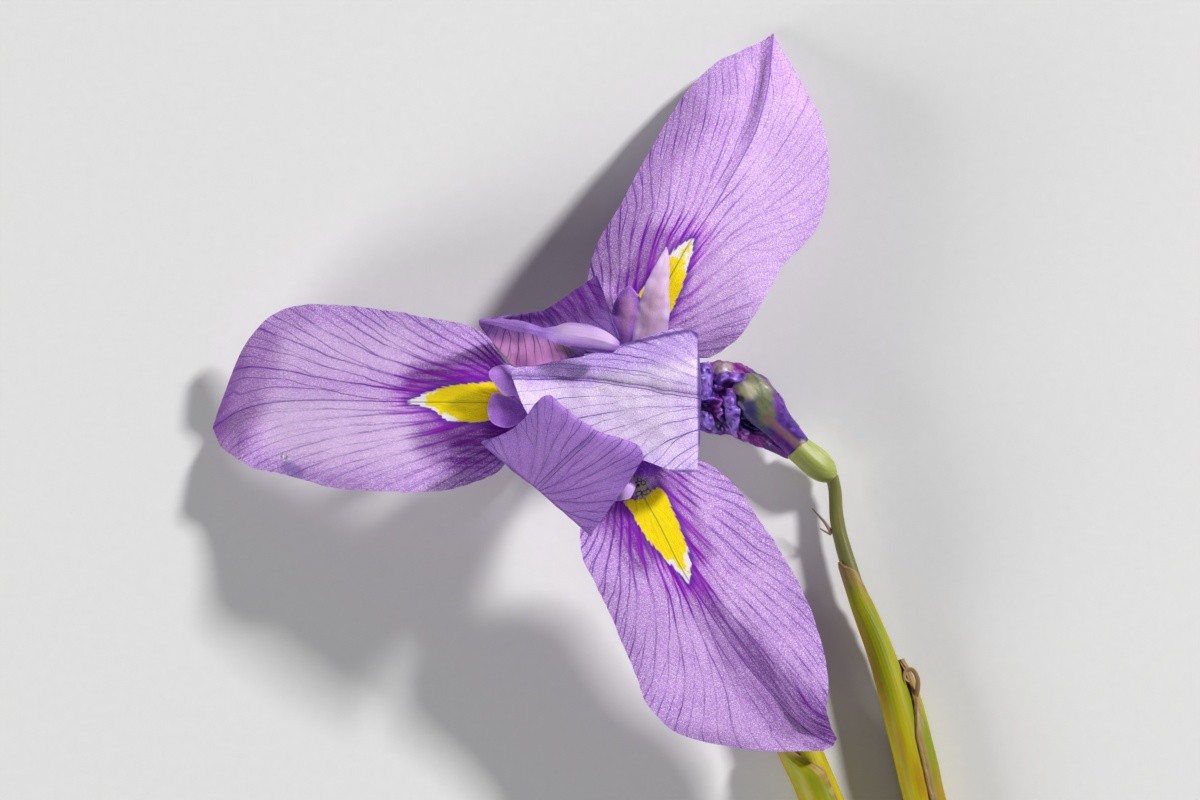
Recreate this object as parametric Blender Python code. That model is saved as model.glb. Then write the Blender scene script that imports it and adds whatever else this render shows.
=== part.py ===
"""A moraea flower as picked: one open bloom and the spent bloom beside it, on one forked stem.

It lies on a surface at z = 0 with the open bloom facing up (+Z). The origin is on that surface,
straight under the middle of the open bloom. Lengths below are in millimetres, and MM turns them
into Blender's metres. A tepal is a petal of an iris-like flower: three outer, three inner.
"""

import math

import bpy
from mathutils import Vector

MM = 0.001
SURFACE_Z = 0.0

# Thickness of every leafy wall.
TEPAL_THICK = 0.6
BRACT_THICK = 0.6
STYLE_THICK = 0.7

# The open bloom: where its outer tepals crest.
CREST_RADIUS = 12.0
CREST_Z = 13.2

# Angles of the claws round the bloom, in degrees, counter-clockwise from +X.
LEFT_CLAW, UPPER_CLAW, LOWER_CLAW = 180.5, 60.0, 296.0
RIGHT_INNER, UPPER_INNER, LOWER_INNER = -1.0, 121.0, 236.0

# How finely each kind of piece is divided: (rows, columns) of a blade, and sides and rings of
# a tube.
OUTER_GRID, INNER_GRID, BRACT_GRID = (22, 8), (26, 6), (12, 10)
BRANCH_GRID, CREST_GRID = (6, 2), (6, 3)
OVARY_SIDES, STEM_SIDES, SPENT_SIDES, STYLE_SIDES, SLEEVE_SIDES, ANTHER_SIDES = 9, 12, 10, 10, 18, 8
OVARY_RINGS, PEDICEL_RINGS, STEM_RINGS, BRANCH_RINGS, SPENT_RINGS, ANTHER_RINGS = 9, 20, 6, 8, 10, 6
# A short step along a path, as a share of it, for reading the way it runs.
NEAR = 0.01
# Edges sharper than this stay sharp when a piece is shaded.
SHARP_EDGE = math.radians(50)

# Each claw as (distance from the bloom's axis, half width, height) at a few stations.
OUTER_CLAW = ((1.55, 0.55, 5.9), (3.9, 1.2, 8.8), (6.0, 1.7, 11.0), (7.7, 2.3, 12.2))
INNER_CLAW = ((1.55, 0.5, 5.9), (4.0, 0.8, 9.4), (6.2, 1.5, 12.3), (7.8, 3.0, 14.1))

# Limbs of the outer tepals from claw to tip: margin on the counter-clockwise side, midrib,
# margin on the clockwise side, each as (x, y).
LEFT_LIMB = (
    ((-8.7, -4.6), (-9.8, -0.2), (-9.4, 3.7)),
    ((-10.0, -7.0), (-11.8, -0.2), (-10.8, 5.8)),
    ((-12.9, -8.4), (-14.4, -0.2), (-13.0, 7.4)),
    ((-17.4, -9.2), (-18.4, -0.2), (-17.2, 8.2)),
    ((-22.2, -9.1), (-23.0, -0.1), (-22.0, 9.0)),
    ((-27.0, -8.6), (-27.5, 0.0), (-27.4, 9.7)),
    ((-31.2, -7.6), (-31.3, -0.1), (-31.2, 9.2)),
    ((-34.6, -6.8), (-34.2, -0.5), (-33.9, 7.6)),
    ((-36.6, -5.8), (-36.4, -1.2), (-35.9, 4.8)),
    ((-38.2, -4.5), (-38.9, -2.8), (-38.3, -1.0)),
)
UPPER_LIMB = (
    ((0.7, 8.8), (5.0, 8.7), (7.5, 5.3)),
    ((-1.1, 10.6), (6.0, 10.4), (9.2, 4.4)),
    ((-1.2, 12.4), (7.0, 12.3), (11.4, 4.4)),
    ((-0.1, 15.9), (9.0, 15.8), (14.4, 7.0)),
    ((2.1, 19.5), (11.2, 19.0), (16.5, 10.4)),
    ((4.5, 24.0), (13.6, 23.1), (18.2, 13.4)),
    ((6.9, 28.3), (15.4, 26.5), (21.2, 16.5)),
    ((9.3, 31.6), (16.3, 29.3), (22.8, 21.0)),
    ((11.6, 33.8), (16.9, 31.9), (22.5, 26.8)),
    ((14.2, 35.1), (17.2, 33.9), (20.8, 31.0)),
    ((16.6, 36.2), (17.4, 36.7), (18.1, 35.7)),
)
LOWER_LIMB = (
    ((7.7, -6.0), (4.1, -8.9), (0.5, -9.6)),
    ((9.7, -6.0), (4.9, -10.6), (-1.1, -11.4)),
    ((12.1, -7.2), (6.0, -12.6), (-2.0, -13.4)),
    ((14.6, -10.1), (8.0, -16.6), (-1.5, -16.3)),
    ((17.2, -13.9), (10.3, -20.2), (0.2, -19.5)),
    ((19.6, -17.9), (12.4, -23.4), (2.0, -23.6)),
    ((21.5, -22.2), (14.6, -26.4), (3.6, -27.4)),
    ((22.6, -26.6), (17.0, -29.2), (5.0, -30.8)),
    ((22.7, -30.2), (19.2, -31.6), (8.4, -33.5)),
    ((22.8, -32.0), (21.2, -33.3), (15.6, -35.0)),
    ((23.7, -33.9), (23.3, -34.6), (22.3, -35.1)),
)
# Height of the three tips: two droop to the surface, the lower one rests over a spathe.
LEFT_TIP_Z, UPPER_TIP_Z, LOWER_TIP_Z = 0.22, 0.22, 6.3
DROOP_POWER = 1.75
# Shape of a limb: its sides rise from the midrib by a share of its half width, at the claw and
# again towards the tip, from the share of its length that LEFT_FURROW and so on give.
CLAW_HOLLOW, HOLLOW_FADE = 0.35, (0.1, 0.4)
TIP_FURROW, FURROW_SLOPE, FURROW_FADE = 0.22, 2.2, (0.93, 1.0)
LEFT_FURROW, UPPER_FURROW, LOWER_FURROW = 0.8, 0.62, 0.55
# Waves along its two margins.
WAVE_HEIGHT, WAVE_COUNT, WAVE_STARTS = 0.45, 3.5, (0.8, 2.6)
WAVE_RISE, WAVE_FADE = (0.3, 0.5), (0.8, 1.0)

# Inner tepals beyond their claws: they fold back over the bloom's middle. Each row is
# counter-clockwise margin, midrib, clockwise margin, as (x, y, z).
RIGHT_BLADE = (
    ((8.7, 5.4, 15.0), (9.1, 0.2, 15.3), (8.7, -5.7, 15.0)),
    ((9.6, 6.5, 16.0), (9.8, 0.3, 16.3), (9.6, -6.8, 16.0)),
    ((9.1, 6.9, 16.9), (9.3, 0.4, 17.2), (9.2, -7.1, 16.9)),
    ((6.9, 6.7, 17.4), (6.6, 0.9, 17.5), (6.9, -7.0, 17.5)),
    ((2.8, 5.5, 17.5), (2.5, 1.5, 17.5), (3.4, -5.6, 17.9)),
    ((-1.2, 4.6, 17.4), (-1.5, 2.0, 17.5), (-1.0, -4.0, 18.0)),
    ((-5.0, 3.3, 17.2), (-5.2, 2.2, 17.3), (-4.6, -2.9, 17.7)),
    ((-7.6, 2.9, 16.9), (-7.6, 2.3, 17.0), (-6.6, -2.0, 17.3)),
    ((-8.7, 2.8, 16.7), (-8.5, 2.1, 16.8), (-7.4, -1.3, 17.0)),
)
LOWER_BLADE = (
    ((-2.4, -11.2, 14.9), (-5.3, -7.7, 15.4), (-9.8, -4.4, 14.9)),
    ((-1.2, -13.2, 15.8), (-6.3, -8.7, 16.5), (-11.6, -4.3, 15.8)),
    ((-0.6, -12.8, 16.7), (-5.8, -8.3, 17.5), (-10.9, -3.9, 16.7)),
    ((0.9, -10.6, 17.7), (-4.3, -6.8, 18.7), (-8.9, -3.0, 17.7)),
    ((2.7, -8.3, 18.6), (-2.6, -5.1, 19.9), (-7.2, -1.5, 18.8)),
    ((3.9, -6.3, 19.2), (-1.1, -3.8, 20.5), (-6.1, 0.0, 19.5)),
    ((4.0, -5.3, 19.2), (-0.6, -3.2, 20.3), (-5.5, 0.4, 19.4)),
    ((3.3, -4.7, 19.0), (-0.4, -3.0, 19.7), (-5.0, 0.3, 19.1)),
)
UPPER_BLADE = (
    ((-9.6, 6.6, 14.9), (-4.7, 7.9, 15.4), (-0.5, 10.5, 14.9)),
    ((-11.8, 7.9, 15.9), (-5.2, 8.9, 16.3), (-0.6, 12.2, 15.9)),
    ((-10.9, 8.0, 16.9), (-4.9, 8.6, 17.3), (-0.1, 11.4, 16.9)),
    ((-9.0, 7.6, 17.7), (-3.8, 7.7, 18.5), (0.6, 9.3, 17.9)),
    ((-7.4, 6.7, 18.2), (-2.7, 6.4, 19.0), (1.2, 7.4, 18.7)),
    ((-6.6, 6.3, 18.8), (-2.0, 5.3, 19.4), (1.7, 5.7, 19.2)),
    ((-6.3, 6.6, 19.6), (-1.9, 5.6, 20.4), (1.6, 5.6, 20.2)),
    ((-5.7, 7.1, 20.1), (-2.0, 6.8, 21.0), (1.0, 6.3, 20.6)),
    ((-5.1, 7.3, 20.3), (-2.1, 7.6, 21.2), (0.4, 6.9, 20.7)),
)

# The style: a column that splits into three flat branches, each over an outer claw and ending
# in two crests. Crest rows are one edge and the other, as (x, y, z).
STYLE_FOOT_Z, STYLE_TOP_Z, STYLE_RADIUS = 5.9, 11.0, 0.55
STYLE_BRANCH = ((0.2, 0.5, 10.3), (2.4, 1.0, 12.0), (5.0, 1.6, 13.8), (7.4, 1.9, 15.0))
CRESTS = {
    "left_a": (
        ((-6.4, 2.2, 14.2), (-6.4, 0.5, 14.6)),
        ((-8.2, 2.9, 14.9), (-8.2, 0.3, 15.2)),
        ((-9.8, 3.0, 15.6), (-9.6, 0.4, 15.6)),
        ((-10.9, 2.5, 16.1), (-10.3, 1.6, 15.9)),
    ),
    "left_b": (
        ((-6.4, -0.4, 14.6), (-6.4, -2.0, 14.2)),
        ((-8.2, -0.1, 15.1), (-8.2, -2.8, 14.9)),
        ((-10.0, 0.1, 15.5), (-9.8, -3.0, 15.4)),
        ((-11.1, -1.0, 15.8), (-10.9, -2.2, 15.7)),
    ),
    "upper_a": (
        ((1.7, 6.0, 14.2), (3.2, 5.2, 14.6)),
        ((1.7, 7.8, 15.0), (3.9, 7.2, 15.2)),
        ((1.9, 9.6, 15.8), (4.2, 9.3, 15.7)),
        ((2.5, 11.2, 16.5), (3.5, 11.2, 16.3)),
    ),
    "upper_b": (
        ((3.6, 5.2, 14.6), (5.2, 4.3, 14.2)),
        ((4.4, 7.4, 15.6), (6.8, 6.6, 15.2)),
        ((4.3, 10.2, 16.5), (6.9, 10.4, 16.2)),
        ((5.1, 12.8, 17.2), (7.0, 13.0, 17.0)),
        ((6.1, 14.9, 17.5), (6.9, 14.9, 17.5)),
    ),
    "lower_a": (
        ((4.2, -4.9, 14.2), (2.9, -5.5, 14.6)),
        ((5.9, -5.9, 14.9), (3.4, -6.7, 15.0)),
        ((6.1, -6.9, 15.3), (3.8, -7.6, 15.3)),
        ((5.3, -7.6, 15.6), (4.5, -7.8, 15.6)),
    ),
    "lower_b": (
        ((2.5, -5.8, 14.6), (1.1, -6.4, 14.2)),
        ((3.1, -7.3, 15.1), (0.8, -8.1, 14.9)),
        ((3.5, -8.8, 15.6), (1.3, -9.4, 15.4)),
        ((3.2, -9.7, 15.9), (2.0, -9.9, 15.8)),
    ),
}

# The stamens: a sleeve round the style, with an anther under each branch of it.
SLEEVE_INNER, SLEEVE_OUTER, SLEEVE_TOP_Z = 0.85, 1.15, 8.2
# An anther on its filament, as (distance from the axis, height, half width, half depth).
ANTHER = (
    (1.05, 7.9, 0.42, 0.3),
    (2.3, 9.3, 0.35, 0.3),
    (3.5, 11.3, 0.8, 0.32),
    (6.6, 13.1, 0.6, 0.25),
)

# Ovaries on their pedicels, stems and bracts, as (x, y, z) paths of their axes.
PEDICEL_RADIUS = 0.65
OVARY_RADIUS, OVARY_FOOT_RADIUS, OVARY_TOP_RADIUS = 1.55, 0.8, 1.1
OVARY_SWELL_POWER = 0.8
OPEN_OVARY_FOOT, OPEN_OVARY_TOP = (0.0, 0.0, 0.0), (0.0, 0.0, 5.45)
OPEN_PEDICEL = (
    (28.0, -51.6, 2.68),
    (25.6, -46.6, 2.68),
    (22.6, -39.9, 2.68),
    (20.5, -35.1, 2.65),
    (17.6, -28.4, 2.4),
    (13.5, -21.5, 1.8),
    (8.0, -13.3, 1.0),
    (3.2, -6.0, 0.7),
    (0.0, -0.3, 0.7),
)
SPENT_PEDICEL = (
    (34.0, -51.6, 2.68),
    (33.2, -45.0, 2.68),
    (31.9, -39.0, 2.68),
    (30.6, -33.5, 2.68),
    (28.6, -26.6, 2.6),
    (26.2, -20.2, 2.4),
    (24.6, -15.4, 2.2),
    (23.8, -12.0, 2.1),
    (23.6, -9.2, 2.1),
    (23.3, -7.7, 2.3),
)
SPENT_OVARY_FOOT, SPENT_OVARY_TOP = (23.3, -7.7, 2.3), (19.8, -4.8, 2.9)
STEM_PATH = ((36.0, -74.0, 1.9), (35.0, -68.0, 1.9), (33.6, -62.0, 2.05))
STEM_RADIUS, NODE_RADIUS, BRANCH_RADIUS = 1.9, 2.05, 1.55
OPEN_BRANCH = ((33.6, -62.6, 2.05), (31.4, -58.0, 2.3), (29.6, -54.9, 2.6), (28.3, -52.2, 2.68))
SPENT_BRANCH = ((33.6, -62.6, 2.05), (34.7, -58.0, 2.3), (34.5, -54.9, 2.6), (34.1, -52.2, 2.68))
OPEN_SHOOT = OPEN_BRANCH[2:3] + OPEN_PEDICEL[1:]
SPENT_SHOOT = SPENT_BRANCH[2:3] + SPENT_PEDICEL[1:-1]
# Each bract's wall: its radius from foot to point, the share of its length where it starts to
# narrow, and how much of its width it has lost at the point.
OUTER_BRACT_RADII = (2.15, 2.33, 2.38, 2.38, 2.5)
INNER_BRACT_RADII = (1.5, 1.52, 1.52, 1.5, 1.3, 1.0)
BRACT_POINT_FROM, BRACT_POINT_LOSS = 0.7, 0.86
# The two margins of each bract, in degrees from straight up towards its right-hand side.
OPEN_OUTER_TURNS, OPEN_INNER_TURNS = (-190, 30), (-80, 240)
SPENT_OUTER_TURNS, SPENT_INNER_TURNS = (35, 230), (-220, 100)

# The spent bloom, collapsed into a wet roll: axis points as (x, y, z, half width, half depth).
SPENT_PIECES = {
    "spent_tepal_front": (
        (19.2, -4.2, 4.0, 0.9, 0.45),
        (17.6, -2.3, 4.6, 1.4, 0.6),
        (16.2, -0.6, 5.3, 2.0, 0.8),
        (15.2, 0.6, 5.6, 2.1, 1.0),
        (14.2, 1.2, 5.5, 1.6, 0.8),
        (13.3, 1.2, 5.3, 0.8, 0.4),
    ),
    "spent_tepal_upper": (
        (20.0, -3.5, 3.0, 0.45, 0.6),
        (18.3, -1.4, 3.0, 0.6, 0.9),
        (17.0, 0.6, 2.9, 0.8, 1.2),
        (15.3, 2.3, 3.0, 0.95, 1.4),
        (13.2, 3.0, 3.2, 0.95, 1.6),
        (11.2, 3.0, 3.4, 0.9, 1.5),
        (9.8, 2.8, 3.4, 0.5, 0.8),
    ),
    "spent_tepal_lower": (
        (19.0, -5.5, 2.4, 0.5, 0.7),
        (17.0, -4.6, 2.3, 0.8, 1.1),
        (14.9, -3.4, 2.2, 0.95, 1.4),
        (12.6, -2.5, 2.2, 1.0, 1.7),
        (10.7, -2.4, 2.3, 0.95, 1.7),
        (9.4, -2.4, 2.3, 0.5, 0.8),
    ),
    "spent_core": (
        (16.2, -1.3, 2.4, 0.4, 0.5),
        (14.6, -0.4, 2.5, 1.1, 1.2),
        (12.9, 0.2, 2.9, 1.35, 1.9),
        (11.0, 0.25, 3.2, 1.35, 2.7),
        (9.0, 0.2, 3.0, 1.2, 2.3),
        (7.6, 0.0, 2.6, 0.5, 0.9),
    ),
}

# The plain colour (linear red, green, blue) and roughness of each material.
COLOURS = {
    "tepal_outer": ((0.52, 0.32, 0.72), 0.55),
    "tepal_inner": ((0.46, 0.27, 0.68), 0.55),
    "style": ((0.36, 0.17, 0.58), 0.5),
    "stamen": ((0.66, 0.56, 0.50), 0.6),
    "ovary": ((0.52, 0.60, 0.21), 0.5),
    "stem": ((0.36, 0.42, 0.06), 0.5),
    "bract": ((0.47, 0.45, 0.06), 0.55),
    "spent": ((0.10, 0.03, 0.20), 0.35),
}


def clear_scene():
    for obj in list(bpy.data.objects):
        bpy.data.objects.remove(obj)


def material(slot):
    found = bpy.data.materials.get(slot)
    if found:
        return found
    colour, roughness = COLOURS[slot]
    made = bpy.data.materials.new(slot)
    made.use_nodes = True
    shader = made.node_tree.nodes["Principled BSDF"]
    shader.inputs["Base Color"].default_value = (*colour, 1.0)
    shader.inputs["Roughness"].default_value = roughness
    shader.inputs["Metallic"].default_value = 0.0
    return made


def add_solid(name, points, faces, slot):
    """One closed mesh from points in millimetres. What reaches below the surface lies flat on it."""
    mesh = bpy.data.meshes.new(name)
    placed = [(p[0] * MM, p[1] * MM, max(p[2], SURFACE_Z) * MM) for p in points]
    mesh.from_pydata(placed, [], faces)
    mesh.materials.append(material(slot))
    mesh.shade_smooth()
    mesh.set_sharp_from_angle(angle=SHARP_EDGE)
    obj = bpy.data.objects.new(name, mesh)
    bpy.context.scene.collection.objects.link(obj)
    return obj


def along(points, share):
    """The point at this share of a smooth curve through points, 0 at the first and 1 at the last."""
    spans = len(points) - 1
    at = min(max(share, 0.0), 1.0) * spans
    i = min(int(at), spans - 1)
    u = at - i
    p1, p2 = Vector(points[i]), Vector(points[i + 1])
    p0 = Vector(points[i - 1]) if i > 0 else 2 * p1 - p2
    p3 = Vector(points[i + 2]) if i + 2 <= spans else 2 * p2 - p1
    return 0.5 * (
        2 * p1
        + (p2 - p0) * u
        + (2 * p0 - 5 * p1 + 4 * p2 - p3) * u**2
        + (3 * p1 - p0 - 3 * p2 + p3) * u**3
    )


def between(low, high, value):
    """0 below low, 1 above high, and a smooth step between them."""
    u = min(max((value - low) / (high - low), 0.0), 1.0)
    return u * u * (3 - 2 * u)


def slab_mesh(grid, thick):
    """Points and triangles of a closed slab with grid as its middle surface, alike on both faces."""
    rows, columns = len(grid), len(grid[0])
    count = rows * columns
    upper, lower = [], []
    for i in range(rows):
        for j in range(columns):
            down = grid[min(i + 1, rows - 1)][j] - grid[max(i - 1, 0)][j]
            across = grid[i][min(j + 1, columns - 1)] - grid[i][max(j - 1, 0)]
            normal = down.cross(across).normalized()
            upper.append(grid[i][j] + normal * thick / 2)
            lower.append(grid[i][j] - normal * thick / 2)
    faces = []
    for i in range(rows - 1):
        for j in range(columns - 1):
            a, b = i * columns + j, (i + 1) * columns + j
            for x, y, z in ((a, b, b + 1), (a, b + 1, a + 1)):
                faces.append((x, y, z))
                faces.append((z + count, y + count, x + count))
    rim = [j for j in range(columns)]
    rim += [i * columns + columns - 1 for i in range(1, rows)]
    rim += [(rows - 1) * columns + j for j in range(columns - 2, -1, -1)]
    rim += [i * columns for i in range(rows - 2, 0, -1)]
    for a, b in zip(rim, rim[1:] + rim[:1]):
        faces.append((a, b, b + count))
        faces.append((a, b + count, a + count))
    return upper + lower, faces


def slab(name, grid, thick, slot):
    points, faces = slab_mesh(grid, thick)
    return add_solid(name, points, faces, slot)


def tube_mesh(axis, widths, depths, sides):
    """Points and triangles of a closed tube of oval section along axis, with flat ends."""
    points, faces = [], []
    last = len(axis) - 1
    start = (axis[1] - axis[0]).normalized()
    side = Vector((0, 1, 0)) if start.z > 0.99 else Vector((0, 0, 1)).cross(start)
    for i, centre in enumerate(axis):
        ahead = (axis[min(i + 1, last)] - axis[max(i - 1, 0)]).normalized()
        side = (side - ahead * side.dot(ahead)).normalized()
        rise = ahead.cross(side)
        for k in range(sides):
            turn = 2 * math.pi * k / sides
            points.append(
                centre + side * widths[i] * math.cos(turn) + rise * depths[i] * math.sin(turn)
            )
    for i in range(last):
        for k in range(sides):
            a, b = i * sides + k, i * sides + (k + 1) % sides
            faces.append((a, b, b + sides))
            faces.append((a, b + sides, a + sides))
    for end, turned in ((0, True), (last * sides, False)):
        for k in range(1, sides - 1):
            cap = (end, end + k, end + k + 1)
            faces.append(cap[::-1] if turned else cap)
    return points, faces


def tube(name, axis, widths, depths, sides, slot):
    points, faces = tube_mesh(axis, widths, depths, sides)
    return add_solid(name, points, faces, slot)


def union(name, parts):
    """Joins parts into the first of them with one Boolean, and removes the rest."""
    body = parts[0]
    body.name = name
    group = bpy.data.collections.new(name + "_parts")
    for part in parts[1:]:
        group.objects.link(part)
    join = body.modifiers.new("join", "BOOLEAN")
    join.operation = "UNION"
    join.operand_type = "COLLECTION"
    join.collection = group
    join.solver = "MANIFOLD"
    bpy.context.view_layer.objects.active = body
    bpy.ops.object.modifier_apply(modifier=join.name)
    for part in parts[1:]:
        bpy.data.objects.remove(part)
    bpy.data.collections.remove(group)
    return body


def claw_rows(stations, angle):
    """The rows of a claw that leaves the bloom's axis at this angle: two margins and the midrib."""
    out = Vector((math.cos(math.radians(angle)), math.sin(math.radians(angle)), 0))
    left = Vector((-out.y, out.x, 0))
    rows = []
    for radius, half, height in stations:
        middle = out * radius + Vector((0, 0, height))
        rows.append((middle + left * half, middle, middle - left * half))
    return rows


def limb_height(radius, tip_radius, tip_z):
    """Height of an outer tepal: up its claw, over the crest, and down to the tip."""
    if radius > CREST_RADIUS:
        share = (radius - CREST_RADIUS) / (tip_radius - CREST_RADIUS)
        return CREST_Z - (CREST_Z - tip_z) * share**DROOP_POWER
    end_radius, _, end_z = OUTER_CLAW[-1]
    if radius > end_radius:
        share = (radius - end_radius) / (CREST_RADIUS - end_radius)
        return end_z + (CREST_Z - end_z) * math.sin(share * math.pi / 2)
    i = sum(radius > station[0] for station in OUTER_CLAW[1:])
    share = (radius - OUTER_CLAW[i][0]) / (OUTER_CLAW[i + 1][0] - OUTER_CLAW[i][0])
    return along(OUTER_CLAW, (i + share) / (len(OUTER_CLAW) - 1)).z


def blade_grid(rows, grid_size):
    """Points of a blade, row by row from foot to tip, each with its share of the length, its
    place across (-1 to 1) and the blade's half width there."""
    count, columns = grid_size
    for i in range(count + 1):
        share = i / count
        left, middle, right = (along([row[k] for row in rows], share) for k in range(3))
        half = (left.xy - right.xy).length / 2
        line = []
        for j in range(columns + 1):
            t = 2 * j / columns - 1
            line.append((middle.lerp(left if t < 0 else right, abs(t)), share, t, half))
        yield line


def outer_tepal(name, angle, limb, tip_z, furrow_from):
    rows = claw_rows(OUTER_CLAW, angle)
    rows += [tuple(Vector((*p, 0)) for p in row) for row in limb]
    tip_radius = rows[-1][1].xy.length
    grid = []
    for line in blade_grid(rows, OUTER_GRID):
        for point, share, t, half in line:
            hollow = CLAW_HOLLOW * half * t * t * (1 - between(*HOLLOW_FADE, share))
            furrow = TIP_FURROW * half * min(abs(t) * FURROW_SLOPE, 1.0)
            furrow *= between(furrow_from, FURROW_FADE[0], share) * (1 - between(*FURROW_FADE, share))
            wave = WAVE_HEIGHT * t * t * between(*WAVE_RISE, share) * (1 - between(*WAVE_FADE, share))
            wave *= math.sin(WAVE_COUNT * 2 * math.pi * share + WAVE_STARTS[t > 0])
            point.z = limb_height(point.xy.length, tip_radius, tip_z) + hollow + furrow + wave
        grid.append([place[0] for place in line])
    return slab(name, grid, TEPAL_THICK, "tepal_outer")


def inner_tepal(name, angle, blade):
    rows = claw_rows(INNER_CLAW, angle)
    rows += [tuple(Vector(p) for p in row) for row in blade]
    grid = [[place[0] for place in line] for line in blade_grid(rows, INNER_GRID)]
    return slab(name, grid, TEPAL_THICK, "tepal_inner")


def strip_grid(rows, grid_size):
    """Points of a strip between two edges."""
    count, columns = grid_size
    grid = []
    for i in range(count + 1):
        left, right = (along([row[k] for row in rows], i / count) for k in (0, -1))
        grid.append([left.lerp(right, j / columns) for j in range(columns + 1)])
    return grid


def style():
    """The column, its three branches and their six crests, grown as one piece."""
    axis = [Vector((0, 0, STYLE_FOOT_Z)), Vector((0, 0, STYLE_TOP_Z))]
    sizes = [STYLE_RADIUS] * 2
    parts = [tube("style", axis, sizes, sizes, STYLE_SIDES, "style")]
    for angle in (LEFT_CLAW, UPPER_CLAW, LOWER_CLAW):
        grid = strip_grid(claw_rows(STYLE_BRANCH, angle), BRANCH_GRID)
        parts.append(slab("branch", grid, STYLE_THICK, "style"))
    for rows in CRESTS.values():
        parts.append(slab("crest", strip_grid(rows, CREST_GRID), STYLE_THICK, "style"))
    return union("style", parts)


def sleeve():
    """The tube of joined filaments, open at both ends."""
    points, faces = [], []
    rings = (
        (SLEEVE_OUTER, STYLE_FOOT_Z),
        (SLEEVE_OUTER, SLEEVE_TOP_Z),
        (SLEEVE_INNER, SLEEVE_TOP_Z),
        (SLEEVE_INNER, STYLE_FOOT_Z),
    )
    for radius, z in rings:
        for k in range(SLEEVE_SIDES):
            turn = 2 * math.pi * k / SLEEVE_SIDES
            points.append(Vector((radius * math.cos(turn), radius * math.sin(turn), z)))
    for i in range(len(rings)):
        above = (i + 1) % len(rings)
        for k in range(SLEEVE_SIDES):
            beside = (k + 1) % SLEEVE_SIDES
            a, b = i * SLEEVE_SIDES + k, i * SLEEVE_SIDES + beside
            c, d = above * SLEEVE_SIDES + beside, above * SLEEVE_SIDES + k
            faces.append((a, b, c))
            faces.append((a, c, d))
    return add_solid("stamens", points, faces, "stamen")


def stamens():
    """The sleeve, and one anther for each branch of the style."""
    parts = [sleeve()]
    for angle in (LEFT_CLAW, UPPER_CLAW, LOWER_CLAW):
        out = Vector((math.cos(math.radians(angle)), math.sin(math.radians(angle)), 0))
        stations = [
            (*(out * radius).xy, z, width, depth) for radius, z, width, depth in ANTHER
        ]
        parts.append(oval_tube("anther", stations, ANTHER_RINGS, ANTHER_SIDES, "stamen"))
    return union("stamens", parts)


def oval_tube(name, stations, rings, sides, slot):
    """A tube through stations of (x, y, z, half width, half depth)."""
    axis = [along([s[:3] for s in stations], i / rings) for i in range(rings + 1)]
    sizes = [along([(*s[3:], 0) for s in stations], i / rings) for i in range(rings + 1)]
    return tube(name, axis, [s.x for s in sizes], [s.y for s in sizes], sides, slot)


def round_tube(name, path, radius, rings, sides, slot):
    axis = [along(path, i / rings) for i in range(rings + 1)]
    sizes = [radius] * len(axis)
    return tube(name, axis, sizes, sizes, sides, slot)


def ovary(name, foot, top, pedicel):
    """A club-shaped ovary and the pedicel that carries it, grown as one piece."""
    axis, sizes = [], []
    for i in range(OVARY_RINGS + 1):
        share = i / OVARY_RINGS
        axis.append(Vector(foot).lerp(Vector(top), share))
        straight = OVARY_FOOT_RADIUS + (OVARY_TOP_RADIUS - OVARY_FOOT_RADIUS) * share
        swell = math.sin(math.pi * share) ** OVARY_SWELL_POWER
        sizes.append(straight + (OVARY_RADIUS - straight) * swell)
    club = tube(name, axis, sizes, sizes, OVARY_SIDES, "ovary")
    stalk = round_tube("pedicel", pedicel, PEDICEL_RADIUS, PEDICEL_RINGS, OVARY_SIDES, "ovary")
    return union(name, [club, stalk])


def stem():
    """The cut stem and its two branches, joined at the node."""
    path = [along(STEM_PATH, i / STEM_RINGS) for i in range(STEM_RINGS + 1)]
    sizes = [STEM_RADIUS] * STEM_RINGS + [NODE_RADIUS]
    parts = [tube("stem", path, sizes, sizes, STEM_SIDES, "stem")]
    for path in (OPEN_BRANCH, SPENT_BRANCH):
        parts.append(round_tube("branch", path, BRANCH_RADIUS, BRANCH_RINGS, STEM_SIDES, "stem"))
    return union("stem", parts)


def sheath(name, path, ends, radii, turns):
    """A bract wrapped round a path from one share of its length to another."""
    rows, columns = BRACT_GRID
    walls = [(radius, 0, 0) for radius in radii]
    middle, half = (turns[0] + turns[1]) / 2, (turns[1] - turns[0]) / 2
    grid = []
    for i in range(rows + 1):
        share = i / rows
        at = ends[0] + (ends[1] - ends[0]) * share
        centre = along(path, at)
        ahead = (along(path, at + NEAR) - along(path, at - NEAR)).normalized()
        side = ahead.cross(Vector((0, 0, 1))).normalized()
        rise = side.cross(ahead)
        radius = along(walls, share).x
        narrow = 1 - BRACT_POINT_LOSS * between(BRACT_POINT_FROM, 1.0, share)
        line = []
        for j in range(columns + 1):
            turn = math.radians(middle + half * narrow * (2 * j / columns - 1))
            line.append(centre + radius * (rise * math.cos(turn) + side * math.sin(turn)))
        grid.append(line)
    return slab(name, grid, BRACT_THICK, "bract")


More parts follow.
